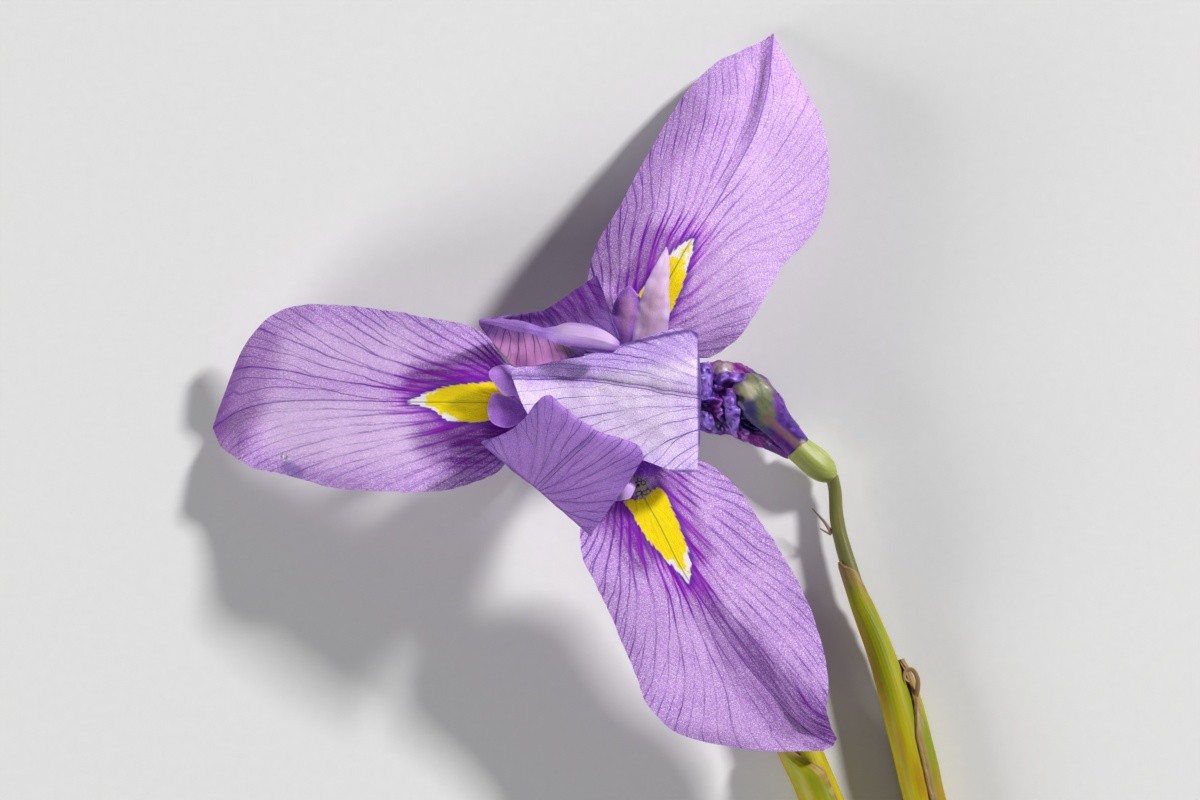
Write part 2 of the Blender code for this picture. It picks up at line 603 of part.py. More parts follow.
def build():
    clear_scene()
    outer_tepal("outer_tepal_left", LEFT_CLAW, LEFT_LIMB, LEFT_TIP_Z, LEFT_FURROW)
    outer_tepal("outer_tepal_upper", UPPER_CLAW, UPPER_LIMB, UPPER_TIP_Z, UPPER_FURROW)
    outer_tepal("outer_tepal_lower", LOWER_CLAW, LOWER_LIMB, LOWER_TIP_Z, LOWER_FURROW)
    inner_tepal("inner_tepal_right", RIGHT_INNER, RIGHT_BLADE)
    inner_tepal("inner_tepal_lower", LOWER_INNER, LOWER_BLADE)
    inner_tepal("inner_tepal_upper", UPPER_INNER, UPPER_BLADE)
    style()
    stamens()
    ovary("ovary_open", OPEN_OVARY_FOOT, OPEN_OVARY_TOP, OPEN_PEDICEL)
    ovary("ovary_spent", SPENT_OVARY_FOOT, SPENT_OVARY_TOP, SPENT_PEDICEL)
    stem()
    sheath("bract_open_outer", OPEN_SHOOT, (0.02, 0.42), OUTER_BRACT_RADII, OPEN_OUTER_TURNS)
    sheath("bract_open_inner", OPEN_SHOOT, (0.06, 0.66), INNER_BRACT_RADII, OPEN_INNER_TURNS)
    sheath("bract_spent_outer", SPENT_SHOOT, (0.02, 0.5), OUTER_BRACT_RADII, SPENT_OUTER_TURNS)
    sheath("bract_spent_inner", SPENT_SHOOT, (0.06, 0.69), INNER_BRACT_RADII, SPENT_INNER_TURNS)
    for name, stations in SPENT_PIECES.items():
        oval_tube(name, stations, SPENT_RINGS, SPENT_SIDES, "spent")


build()
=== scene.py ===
"""A moraea flower as picked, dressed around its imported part.

One open bloom faces up, with the spent bloom beside it on the same forked stem. Lengths are in
millimetres in the part's own frame, and MM turns them into Blender's metres. The named sizes
that shape the tepals, stalks and bracts are those of the part's source.
"""

import math

import bpy
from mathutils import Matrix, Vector, noise


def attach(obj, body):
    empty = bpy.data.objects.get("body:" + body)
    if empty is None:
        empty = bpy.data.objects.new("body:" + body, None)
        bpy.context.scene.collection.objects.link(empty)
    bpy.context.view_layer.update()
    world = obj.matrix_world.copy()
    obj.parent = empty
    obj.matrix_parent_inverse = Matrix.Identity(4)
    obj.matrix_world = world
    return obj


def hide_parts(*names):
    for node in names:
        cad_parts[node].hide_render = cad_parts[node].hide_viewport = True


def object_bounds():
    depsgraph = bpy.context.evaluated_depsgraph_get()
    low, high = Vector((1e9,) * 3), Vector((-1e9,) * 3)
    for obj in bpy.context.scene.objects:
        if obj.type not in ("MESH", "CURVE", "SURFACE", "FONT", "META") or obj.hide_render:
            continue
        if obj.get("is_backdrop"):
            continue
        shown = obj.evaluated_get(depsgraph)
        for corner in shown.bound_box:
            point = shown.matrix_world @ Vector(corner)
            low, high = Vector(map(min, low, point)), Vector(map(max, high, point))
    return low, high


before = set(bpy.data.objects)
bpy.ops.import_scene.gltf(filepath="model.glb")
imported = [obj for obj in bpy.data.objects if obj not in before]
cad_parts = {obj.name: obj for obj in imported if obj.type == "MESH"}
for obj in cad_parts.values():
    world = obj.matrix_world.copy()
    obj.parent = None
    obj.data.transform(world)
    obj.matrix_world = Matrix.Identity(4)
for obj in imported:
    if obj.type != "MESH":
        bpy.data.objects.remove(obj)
cad_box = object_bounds()

# The waves of the crests and the creases of the spent bloom are drawn alike in every run.
noise.seed_set(5)

MM = 0.001

# The photograph was taken straight from above. At this height and focal length one pixel of its
# 1200 is 0.1 mm on the bloom.
CAMERA_HEIGHT = 1.208
CAMERA_LENS = 360
CAMERA_SENSOR = 36

# Real thickness of the living petals and of the papery bracts.
PETAL_THICK = 0.26
BRACT_THICK = 0.3

# The open bloom: where its outer tepals crest.
CREST_RADIUS = 12.0
CREST_Z = 13.2
DROOP_POWER = 1.75

# Angles of the claws round the bloom, in degrees, counter-clockwise from +X.
LEFT_CLAW, UPPER_CLAW, LOWER_CLAW = 180.5, 60.0, 296.0
RIGHT_INNER, UPPER_INNER, LOWER_INNER = -1.0, 121.0, 236.0

# Each claw as (distance from the bloom's axis, half width, height) at a few stations.
OUTER_CLAW = ((1.55, 0.55, 5.9), (3.9, 1.2, 8.8), (6.0, 1.7, 11.0), (7.7, 2.3, 12.2))
INNER_CLAW = ((1.55, 0.5, 5.9), (4.0, 0.8, 9.4), (6.2, 1.5, 12.3), (7.8, 3.0, 14.1))

# Limbs of the outer tepals from claw to tip: margin on the counter-clockwise side, midrib,
# margin on the clockwise side, each as (x, y).
LEFT_LIMB = (
    ((-8.7, -4.6), (-9.8, -0.2), (-9.4, 3.7)),
    ((-10.0, -7.0), (-11.8, -0.2), (-10.8, 5.8)),
    ((-12.9, -8.4), (-14.4, -0.2), (-13.0, 7.4)),
    ((-17.4, -9.2), (-18.4, -0.2), (-17.2, 8.2)),
    ((-22.2, -9.1), (-23.0, -0.1), (-22.0, 9.0)),
    ((-27.0, -8.6), (-27.5, 0.0), (-27.4, 9.7)),
    ((-31.2, -7.6), (-31.3, -0.1), (-31.2, 9.2)),
    ((-34.6, -6.8), (-34.2, -0.5), (-33.9, 7.6)),
    ((-36.6, -5.8), (-36.4, -1.2), (-35.9, 4.8)),
    ((-38.2, -4.5), (-38.9, -2.8), (-38.3, -1.0)),
)
UPPER_LIMB = (
    ((0.7, 8.8), (5.0, 8.7), (7.5, 5.3)),
    ((-1.1, 10.6), (6.0, 10.4), (9.2, 4.4)),
    ((-1.2, 12.4), (7.0, 12.3), (11.4, 4.4)),
    ((-0.1, 15.9), (9.0, 15.8), (14.4, 7.0)),
    ((2.1, 19.5), (11.2, 19.0), (16.5, 10.4)),
    ((4.5, 24.0), (13.6, 23.1), (18.2, 13.4)),
    ((6.9, 28.3), (15.4, 26.5), (21.2, 16.5)),
    ((9.3, 31.6), (16.3, 29.3), (22.8, 21.0)),
    ((11.6, 33.8), (16.9, 31.9), (22.5, 26.8)),
    ((14.6, 35.2), (17.15, 34.2), (20.0, 32.2)),
    ((17.0, 36.4), (17.4, 36.85), (17.75, 36.0)),
)
LOWER_LIMB = (
    ((7.7, -6.0), (4.1, -8.9), (0.5, -9.6)),
    ((9.7, -6.0), (4.9, -10.6), (-1.1, -11.4)),
    ((12.1, -7.2), (6.0, -12.6), (-2.0, -13.4)),
    ((14.6, -10.1), (8.0, -16.6), (-1.5, -16.3)),
    ((17.2, -13.9), (10.3, -20.2), (0.2, -19.5)),
    ((19.6, -17.9), (12.4, -23.4), (2.0, -23.6)),
    ((21.5, -22.2), (14.6, -26.4), (3.6, -27.4)),
    ((22.6, -26.6), (17.0, -29.2), (5.0, -30.8)),
    ((22.7, -30.2), (19.2, -31.6), (8.4, -33.5)),
    ((22.8, -32.0), (21.2, -33.3), (15.6, -35.0)),
    ((23.7, -33.9), (23.3, -34.6), (22.3, -35.1)),
)
LEFT_TIP_Z, UPPER_TIP_Z, LOWER_TIP_Z = 0.22, 0.22, 6.3
CLAW_HOLLOW, HOLLOW_FADE = 0.35, (0.1, 0.4)
# Furrow along the midrib near the tip: (from this share of the length, how far each half rises
# from it as a share of the half width).
LEFT_FURROW, UPPER_FURROW, LOWER_FURROW = (0.8, 0.22, 0.22), (0.62, 0.1, 0.03), (0.55, 0.1, 0.02)
FURROW_SLOPE, FURROW_FADE = 2.2, (0.93, 1.0)
WAVE_HEIGHT, WAVE_COUNT, WAVE_STARTS = 0.45, 3.5, (0.8, 2.6)
WAVE_RISE, WAVE_FADE = (0.3, 0.5), (0.8, 1.0)

# Edge of the yellow nectar guide on each outer tepal, as (x, y).
LEFT_GUIDE = (
    (-19.2, -0.2), (-17.2, 0.7), (-15.8, 1.2), (-14.4, 1.5), (-13.1, 1.6), (-11.3, 1.8),
    (-9.0, 1.5), (-9.0, -1.8), (-10.9, -2.0), (-12.6, -2.2), (-15.3, -2.0), (-16.3, -1.1),
    (-17.2, -0.7),
)
UPPER_GUIDE = (
    (9.3, 16.1), (7.9, 15.4), (6.6, 13.9), (5.3, 12.4), (3.6, 10.1), (3.0, 8.6), (6.0, 7.2),
    (7.0, 8.6), (7.6, 10.0), (8.3, 11.6), (8.8, 13.4), (9.2, 14.9),
)
LOWER_GUIDE = (
    (8.9, -18.3), (6.0, -15.2), (4.6, -13.7), (3.6, -12.0), (2.4, -10.1), (4.4, -9.9),
    (5.7, -8.7), (6.4, -9.1), (7.4, -11.4), (8.2, -13.4), (8.7, -14.8), (9.0, -16.6),
)

# Inner tepals beyond their claws: they fold back over the bloom's middle. Each row is
# counter-clockwise margin, midrib, clockwise margin, as (x, y, z).
RIGHT_BLADE = (
    ((8.6, 5.2, 15.0), (9.1, 0.2, 15.3), (8.7, -5.7, 15.0)),
    ((9.5, 6.1, 15.9), (9.8, 0.3, 16.2), (9.65, -6.7, 15.9)),
    ((9.5, 6.75, 16.7), (9.5, 0.4, 16.9), (9.3, -7.15, 16.7)),
    ((7.6, 6.95, 17.3), (7.4, 0.75, 17.2), (7.4, -7.0, 17.3)),
    ((4.0, 6.0, 17.4), (4.0, 1.3, 17.2), (4.5, -6.1, 17.6)),
    ((0.4, 4.95, 17.4), (0.3, 1.85, 17.2), (0.8, -4.9, 17.8)),
    ((-3.4, 4.0, 17.5), (-3.4, 2.2, 17.4), (-3.0, -3.4, 17.8)),
    ((-6.4, 3.3, 17.9), (-6.4, 2.3, 17.8), (-5.8, -2.2, 17.9)),
    ((-8.2, 3.1, 18.4), (-8.1, 2.3, 18.3), (-7.1, -1.5, 18.0)),
    ((-8.8, 2.9, 18.6), (-8.7, 2.2, 18.5), (-7.9, -0.2, 18.2)),
)
LOWER_BLADE = (
    ((-2.4, -11.2, 14.9), (-5.3, -7.7, 15.4), (-9.8, -4.4, 14.9)),
    ((-1.1, -13.3, 15.8), (-6.3, -8.7, 16.4), (-11.7, -4.3, 16.9)),
    ((-0.7, -12.9, 16.5), (-5.9, -8.4, 17.3), (-11.0, -3.9, 17.4)),
    ((0.9, -10.8, 17.4), (-4.4, -6.9, 18.4), (-9.0, -3.0, 18.2)),
    ((2.7, -8.4, 18.3), (-2.7, -5.2, 19.5), (-7.3, -1.6, 19.4)),
    ((3.9, -6.5, 18.9), (-1.2, -3.9, 20.3), (-6.2, -0.2, 20.3)),
    ((4.2, -5.4, 19.0), (-0.7, -3.3, 20.4), (-5.7, 0.3, 20.5)),
    ((3.6, -4.5, 18.9), (-0.4, -3.1, 20.1), (-5.0, 0.3, 20.2)),
)
UPPER_BLADE = (
    ((-9.6, 6.2, 13.8), (-4.7, 7.9, 15.2), (-0.5, 10.5, 14.9)),
    ((-11.9, 7.9, 17.9), (-5.6, 8.7, 17.0), (-0.3, 12.2, 16.2)),
    ((-11.6, 6.9, 15.6), (-5.1, 8.2, 17.5), (0.1, 11.2, 17.1)),
    ((-10.5, 5.8, 14.2), (-4.4, 7.3, 17.7), (0.8, 9.4, 18.0)),
    ((-9.5, 4.6, 14.0), (-3.9, 6.2, 17.5), (1.4, 7.8, 18.6)),
    ((-8.6, 3.5, 14.3), (-3.4, 5.3, 16.9), (1.8, 6.3, 18.2)),
    ((-7.4, 2.5, 14.7), (-3.0, 4.4, 16.3), (1.7, 5.4, 17.0)),
)
# The tip of the upper inner tepal curls forward over the rest in a long pale lip: its back edge,
# its middle and its front edge, from the wing tip to the rounded end.
UPPER_LIP = (
    ((-11.9, 8.0, 17.9), (-11.9, 7.9, 18.0), (-11.9, 7.8, 17.9)),
    ((-10.4, 8.05, 17.7), (-10.3, 7.75, 18.0), (-10.3, 7.45, 17.7)),
    ((-8.8, 7.9, 18.0), (-8.7, 7.4, 18.4), (-8.7, 7.0, 18.0)),
    ((-7.2, 7.6, 18.3), (-7.1, 7.1, 18.8), (-7.0, 6.7, 18.4)),
    ((-5.7, 7.1, 18.8), (-5.6, 6.7, 19.2), (-5.5, 6.2, 18.8)),
    ((-4.5, 7.2, 19.4), (-4.4, 6.5, 20.0), (-4.3, 5.8, 19.2)),
    ((-3.0, 7.6, 20.0), (-2.9, 6.5, 20.8), (-2.9, 5.4, 19.6)),
    ((-1.3, 7.5, 20.3), (-1.3, 6.2, 21.0), (-1.2, 4.95, 19.9)),
    ((0.2, 6.9, 20.3), (0.2, 5.8, 20.9), (0.2, 4.6, 19.9)),
    ((1.3, 6.2, 20.1), (1.2, 5.4, 20.4), (1.0, 4.65, 19.8)),
    ((1.75, 5.7, 19.9), (1.7, 5.4, 20.0), (1.5, 5.0, 19.8)),
)

# Rows and columns of the fine blades, bracts and flaps.
OUTER_GRID, INNER_GRID, BRACT_GRID, FLAP_GRID = (200, 92), (150, 72), (170, 84), (60, 28)
# Faces that meet at a smaller angle, in degrees, are shaded as one surface.
SMOOTH_ANGLE = 50

# Veins of an outer tepal fan out of its claw. The fan opens with the distance from a pole near
# the axis: (veins across a half, pole in mm, opening power, extra opening per mm past FAR_FROM).
OUTER_FAN = (26, 4.0, 1.05, 0.028)
FAN_STARTS, FAN_WIDTH, FAR_FROM = 9.0, 9.5, 22.0
# Veins of an inner tepal spread as rays: (veins in a quarter turn, pole ahead of the fold in mm).
RIGHT_RAYS, LOWER_RAYS, UPPER_RAYS = (11.0, 6.0), (5.5, 1.0), (8.0, 3.0)
LIP_RAYS = (16.0, -4.0)
# How strongly the veins of the lip show.
LIP_VEINS = 0.1

# Height of the ridge over each vein, and of the puckers between the veins of an outer tepal, from
# one place across to another.
VEIN_RIDGE, PUCKER_HEIGHT, PUCKERED = 0.012, 0.07, (0.35, 0.9)
# Swells of an outer tepal, as (size, height), and the ragged frills of its margin, as (count along
# the tepal, height, place in the noise).
SWELLS = ((5.5, 0.16), (1.7, 0.05))
FRILLS = ((22, 0.18, 0.3), (64, 0.08, 4.1))
FRILL_REACH, FRILL_STARTS, FRILL_ENDS = (0.86, 1.0), (0.34, 0.42), (0.93, 1.0)
# The relief of an outer tepal starts where its claw ends and fades out at its tip.
LIMB_STARTS, TIP_STARTS = (0.3, 0.42), (0.88, 1.0)
# Waver of an inner tepal, as (size, height, place in the noise), and the groove along its midrib,
# as (depth, half width).
WAVER = ((3.5, 0.22, 7.7), (1.1, 0.06, 5.1))
WAVER_STARTS, GROOVE, GROOVE_STARTS = (0.2, 0.4), (0.12, 0.35), (0.3, 0.5)

# How far a tepal's halves lift (or, below zero, drop) from the midrib to the margin, as a share
# of the half width: counter-clockwise half, clockwise half.
LEFT_LIFT, UPPER_LIFT, LOWER_LIFT = (0.14, 0.05), (-0.24, 0.03), (-0.03, 0.02)
# Steps beside the midrib, where one half stands above the other: (side, height, width, from, to).
LEFT_STEP, UPPER_STEP = (1, 0.25, 2.0, 0.55, 0.75), (-1, -0.7, 1.3, 0.62, 0.86)
LOWER_STEP = (-1, 0.6, 2.8, 0.5, 0.74)
RIGHT_BLADE_STEP, FLAT_STEP = (-1, 0.1, 1.4, 0.42, 0.5), (1, 0.0, 1.0, 0.0, 1.0)

# Stains, painted shade and painted light of the petals, as (kind, start, end, width, strength) with
# places in (x, y).
LEFT_STAINS_AND_SHADING = (
    ("bruise", (-31.3, -6.7), (-30.2, -7.3), 1.0, 0.6),
    ("nick", (-31.8, -5.6), (-31.2, -5.8), 0.32, 0.75),
    ("nick", (-31.4, -5.4), (-31.5, -6.1), 0.22, 0.5),
    # The deep patches by the claw are partly the claw's own deeper violet and partly painted shadow, cast
    # on it by the upper inner tepal's wing, the crests and the lower inner tepal.
    ("deep", (-18.0, 2.0), (-11.0, 3.4), 2.6, 0.85),
    ("deep", (-13.6, -5.2), (-9.6, -3.8), 3.4, 1.0),
    ("deep", (-16.4, -3.6), (-12.4, -6.8), 3.4, 0.75),
    # The mauve and deep patches at the tip are painted shade on the tip, which droops away from the
    # light.
    ("mauve", (-37.6, -3.4), (-35.0, 5.6), 4.4, 0.95),
    ("deep", (-38.8, -2.6), (-37.2, 3.6), 2.4, 0.5),
    # The pale patches across the middle are painted light on the limb, which slopes away from the light.
    ("pale", (-31.0, -2.6), (-20.5, -3.6), 5.0, 0.5),
    ("pale", (-30.0, 4.6), (-20.0, 5.0), 3.6, 0.3),
    ("white", (-17.0, -1.0), (-14.6, -2.2), 0.8, 0.8),
    ("mauve", (-34.6, 6.8), (-30.0, 8.8), 2.2, 0.35),
    ("mauve", (-34.6, -6.6), (-24.0, -9.0), 1.5, 0.3),
)
UPPER_STAINS_AND_SHADING = (
    # The furrow near the tip is partly deep violet where the veins crowd and partly painted shade on its
    # wall beside the midrib.
    ("furrow", (17.2, 34.0), (17.5, 36.8), 1.5, 0.7),
    ("furrow", (16.2, 29.4), (17.2, 34.0), 2.0, 0.55),
    ("furrow", (15.2, 26.2), (16.2, 29.4), 1.6, 0.45),
    ("furrow", (12.6, 21.4), (15.2, 26.2), 0.9, 0.4),
    ("deep", (3.0, 10.8), (5.8, 15.9), 2.2, 0.65),
    # The mauve patch on the counter-clockwise half is partly painted shade, where that half tilts away
    # from the light.
    ("mauve", (0.2, 14.6), (8.0, 29.0), 4.0, 0.65),
    ("pale", (14.5, 13.0), (19.5, 26.0), 7.0, 0.2),
    ("white", (8.9, 16.0), (8.0, 13.8), 1.5, 0.75),
    ("mauve", (14.5, 13.0), (19.5, 26.0), 7.0, 0.2),
    # The mauve along the counter-clockwise margin is painted shade.
    ("mauve", (-0.4, 10.6), (2.0, 18.0), 2.2, 0.4),
    ("mauve", (12.6, 5.8), (8.8, 4.6), 2.0, 0.5),
)
LOWER_STAINS_AND_SHADING = (
    # The furrow band and the deep patches along it are partly deep violet where the veins crowd and
    # partly painted shade on the wall of the furrow, which tilts away from the light.
    ("furrow", (9.4, -18.6), (13.4, -24.4), 2.0, 0.8),
    ("furrow", (13.4, -24.4), (17.6, -29.2), 3.4, 0.85),
    ("furrow", (17.6, -29.2), (23.0, -34.0), 4.0, 0.85),
    ("deep", (18.8, -32.0), (22.0, -34.4), 1.5, 0.55),
    ("deep", (9.6, -19.2), (13.4, -25.4), 2.2, 0.5),
    ("deep", (13.4, -25.4), (19.0, -32.4), 3.0, 0.5),
    ("bare", (3.0, -7.2), (4.3, -9.2), 1.3, 1.0),
    # The deep patches by the claw are partly the claw's own deeper violet and partly painted shadow, cast
    # on it by the crests and inner tepals above.
    ("deep", (0.6, -10.6), (4.0, -15.4), 2.6, 0.8),
    ("deep", (7.4, -8.0), (10.0, -15.0), 2.0, 0.5),
    ("mauve", (6.8, -33.0), (14.0, -34.8), 1.6, 0.35),
    ("mauve", (0.6, -19.0), (4.6, -29.4), 1.6, 0.25),
)
RIGHT_INNER_STAINS_AND_SHADING = (
    # The hems are painted shade: dark lines along the blade's folded edges.
    ("hem", (9.75, 6.2), (9.85, -6.9), 0.3, 0.9),
    ("hem", (9.7, 6.3), (9.1, 6.95), 0.45, 0.9),
    ("hem", (9.2, 7.0), (2.4, 5.55), 0.3, 0.8),
    ("hem", (9.5, -7.1), (6.9, -7.05), 0.25, 0.8),
    # The lilac and deep strips are partly the violet of the midrib and partly painted shade: the lip's
    # shadow at the left end, and the shade of the upper half, which tilts away from the light.
    ("lilac", (-8.6, 2.6), (-1.0, 2.0), 1.1, 0.7),
    ("deep", (-8.6, 2.6), (-1.0, 2.0), 0.7, 0.3),
    ("deep", (-1.0, 2.0), (9.6, 0.4), 0.7, 0.35),
    ("lilac", (-7.0, 3.2), (8.6, 5.8), 2.8, 0.85),
    ("lilac", (8.8, 1.0), (9.4, -6.0), 2.2, 0.4),
)
UPPER_INNER_STAINS_AND_SHADING = (
    # The pink patch is painted light coming through the tissue under the lip.
    ("lit_glow", (-9.2, 5.0), (-5.0, 4.2), 2.8, 0.85),
    # The olive-brown patch is painted shade in the gap under the lip.
    ("gap_shade", (-4.0, 5.3), (-2.9, 4.9), 0.7, 0.6),
    ("deep", (-11.9, 7.6), (-8.2, 6.6), 1.6, 0.6),
    # The broad deep patch is painted shade on the blade beside the lip.
    ("deep", (-6.6, 9.4), (-1.2, 10.4), 3.8, 0.9),
    ("hem", (-0.3, 12.0), (1.8, 6.2), 0.25, 0.5),
    ("hem", (-5.4, 9.1), (-4.3, 6.9), 0.5, 0.6),
)
LOWER_INNER_STAINS_AND_SHADING = (
    ("hem", (-11.7, -4.4), (-6.3, -8.8), 0.3, 0.6),
    ("hem", (-6.3, -8.8), (-1.0, -13.3), 0.3, 0.6),
    ("hem", (-11.4, -4.3), (-6.2, -0.2), 0.25, 0.6),
)
LIP_STAINS_AND_SHADING = (
    ("pale", (-4.2, 6.8), (0.6, 6.0), 1.5, 0.75),
    ("lilac", (-11.6, 7.7), (-5.0, 6.8), 1.4, 0.6),
    ("lilac", (-4.4, 5.8), (1.4, 4.7), 1.0, 0.6),
    ("deep", (-11.6, 7.7), (-7.6, 7.0), 0.6, 0.3),
    ("deep", (-4.0, 5.6), (1.4, 4.7), 0.6, 0.45),
    ("hem", (-2.8, 5.3), (1.6, 4.8), 0.22, 0.7),
)
PETAL_MARK_KINDS = (
    "mauve", "deep", "furrow", "lilac", "lit_glow", "bare", "gap_shade", "hem", "pale", "white", "bruise", "nick",
)


def linear(colour):
    """An sRGB hex value as linear red, green, blue and alpha."""
    parts = [int(colour[i : i + 2], 16) / 255 for i in (1, 3, 5)]
    return (*(c / 12.92 if c <= 0.04045 else ((c + 0.055) / 1.055) ** 2.4 for c in parts), 1.0)


def add(tree, kind, inputs=(), **settings):
    """Adds a shader node with its settings. Inputs go to its live sockets in order, or by name: a
    node or a socket is linked, and a number or colour is set on the socket."""
    made = tree.nodes.new("ShaderNode" + kind)
    for name, value in settings.items():
        setattr(made, name, value)
    if isinstance(inputs, dict):
        pairs = [(made.inputs[name], value) for name, value in inputs.items()]
    else:
        pairs = zip([socket for socket in made.inputs if socket.enabled], inputs)
    for socket, value in pairs:
        if isinstance(value, bpy.types.Node):
            value = next(out for out in value.outputs if out.enabled)
        if isinstance(value, bpy.types.NodeSocket):
            tree.links.new(value, socket)
        elif value is not None:
            socket.default_value = value
    return made


def new_material(name):
    """An empty material, and its node tree."""
    made = bpy.data.materials.new(name)
    made.use_nodes = True
    made.node_tree.nodes.clear()
    return made, made.node_tree


def patches(tree, where, scale, detail, span, smooth=False):
    """Patches of noise, cut to a span of (from, to, low, high). scale is in cycles per metre, or,
    on a map of the piece, in cycles per unit of the map: across and along."""
    if isinstance(scale, tuple):
        where = add(tree, "VectorMath", (where, (*scale, 1.0)), operation="MULTIPLY")
        scale = 1.0
    made = add(tree, "TexNoise", {"Vector": where, "Scale": scale, "Detail": detail})
    return add(tree, "MapRange", (made, *span), interpolation_type="SMOOTHSTEP" if smooth else "LINEAR")


def finish_skin(made, colour, bump, sockets, thin=0.0):
    """Ends a material: a shader with this colour, relief and these sockets, and for thin tissue a
    share of light that comes through it."""
    t = made.node_tree
    shader = add(t, "BsdfPrincipled", {"Base Color": colour, "Normal": bump, **sockets})
    if thin:
        through = add(t, "BsdfTranslucent", {"Color": colour, "Normal": bump})
        shader = add(t, "MixShader", (thin, shader, through))
    add(t, "OutputMaterial", {"Surface": shader})
    return made


def deselect():
    """Leaves edit mode and leaves nothing selected."""
    if bpy.context.object and bpy.context.object.mode != "OBJECT":
        bpy.ops.object.mode_set(mode="OBJECT")
    bpy.ops.object.select_all(action="DESELECT")


def along(points, share):
    """The point at this share of a smooth curve through points, 0 at the first and 1 at the last."""
    spans = len(points) - 1
    at = min(max(share, 0.0), 1.0) * spans
    i = min(int(at), spans - 1)
    u = at - i
    p1, p2 = Vector(points[i]), Vector(points[i + 1])
    p0 = Vector(points[i - 1]) if i > 0 else 2 * p1 - p2
    p3 = Vector(points[i + 2]) if i + 2 <= spans else 2 * p2 - p1
    return 0.5 * (
        2 * p1
        + (p2 - p0) * u
        + (2 * p0 - 5 * p1 + 4 * p2 - p3) * u**2
        + (3 * p1 - p0 - 3 * p2 + p3) * u**3
    )


def between(low, high, value):
    """0 below low, 1 above high, and a smooth step between them."""
    u = min(max((value - low) / (high - low), 0.0), 1.0)
    return u * u * (3 - 2 * u)


def grid_piece(name, grid, maps=(), values=()):
    """A sheet with these rows of points. It starts as Blender's grid, whose points are then moved.
    maps are UV maps and values are plain attributes, as {name: one entry per point}."""
    deselect()
    rows, columns = len(grid) - 1, len(grid[0]) - 1
    bpy.ops.mesh.primitive_grid_add(x_subdivisions=columns, y_subdivisions=rows, size=MM)
    piece = bpy.context.object
    piece.name = piece.data.name = name
    mesh = piece.data
    points = [point for line in grid for point in line]
    for vertex, point in zip(mesh.vertices, points):
        vertex.co = Vector(point) * MM
    corners = [loop.vertex_index for loop in mesh.loops]
    while mesh.uv_layers:
        mesh.uv_layers.remove(mesh.uv_layers[0])
    for map_name, places in dict(maps).items():
        layer = mesh.uv_layers.new(name=map_name)
        for corner, index in enumerate(corners):
            layer.uv[corner].vector = places[index]
    for value_name, numbers in dict(values).items():
        made = mesh.attributes.new(value_name, "FLOAT", "POINT")
        made.data.foreach_set("value", numbers)
    return piece


def apply_modifier(piece, kind, **settings):
    """Adds a modifier with these settings and applies it."""
    deselect()
    bpy.context.view_layer.objects.active = piece
    piece.select_set(True)
    made = piece.modifiers.new(kind.lower(), kind)
    for name, value in settings.items():
        setattr(made, name, value)
    bpy.ops.object.modifier_apply(modifier=made.name)


def finish_piece(piece, slot, material, *nodes):
    """Gives a finished piece its material, smooth shading and body, and hides the imported parts it
    stands for. slot is not used.
    """
    deselect()
    bpy.context.view_layer.objects.active = piece
    piece.select_set(True)
    bpy.ops.object.shade_smooth_by_angle(angle=math.radians(SMOOTH_ANGLE))
    piece.data.materials.clear()
    piece.data.materials.append(material)
    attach(piece, "root")
    if nodes:
        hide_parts(*nodes)
    return piece


def claw_rows(stations, angle):
    """The rows of a claw that leaves the bloom's axis at this angle: two margins and the midrib."""
    out = Vector((math.cos(math.radians(angle)), math.sin(math.radians(angle)), 0))
    left = Vector((-out.y, out.x, 0))
    rows = []
    for radius, half, height in stations:
        middle = out * radius + Vector((0, 0, height))
        rows.append((middle + left * half, middle, middle - left * half))
    return rows


def limb_height(radius, tip_radius, tip_z):
    """Height of an outer tepal: up its claw, over the crest, and down to the tip."""
    if radius > CREST_RADIUS:
        share = (radius - CREST_RADIUS) / (tip_radius - CREST_RADIUS)
        return CREST_Z - (CREST_Z - tip_z) * share**DROOP_POWER
    end_radius, _, end_z = OUTER_CLAW[-1]
    if radius > end_radius:
        share = (radius - end_radius) / (CREST_RADIUS - end_radius)
        return end_z + (CREST_Z - end_z) * math.sin(share * math.pi / 2)
    i = sum(radius > station[0] for station in OUTER_CLAW[1:])
    share = (radius - OUTER_CLAW[i][0]) / (OUTER_CLAW[i + 1][0] - OUTER_CLAW[i][0])
    return along(OUTER_CLAW, (i + share) / (len(OUTER_CLAW) - 1)).z


def blade_lines(rows, grid_size):
    """Points of a blade, row by row from foot to tip, each with its share of the length, its
    place across (-1 to 1) and the blade's half width there."""
    count, columns = grid_size
    for i in range(count + 1):
        share = i / count
        left, middle, right = (along([row[k] for row in rows], share) for k in range(3))
        half = (left.xy - right.xy).length / 2
        line = []
        for j in range(columns + 1):
            t = 2 * j / columns - 1
            line.append((middle.lerp(left if t < 0 else right, abs(t)), share, t, half))
        yield line


def edge_distance(outline, x, y):
    """Distance in mm from (x, y) to a closed outline, positive inside it."""
    nearest, inside = 1e9, False
    for (ax, ay), (bx, by) in zip(outline, outline[1:] + outline[:1]):
        nearest = min(nearest, distance_to((ax, ay), (bx, by), x, y))
        if (ay > y) != (by > y) and x < ax + (y - ay) / (by - ay) * (bx - ax):
            inside = not inside
    return nearest if inside else -nearest


def fan_vein(u, t, half, fan):
    """Number of the vein at a place u mm out from the axis and t across."""
    count, pole, power, far = fan
    opened = ((max(u, FAN_STARTS - 1) - pole) / (FAN_STARTS - pole)) ** power
    opened *= math.exp(far * max(u - FAR_FROM, 0.0))
    rays = between(0.08, 0.45, abs(t))
    return count * abs(t) * (half / FAN_WIDTH) ** rays / opened


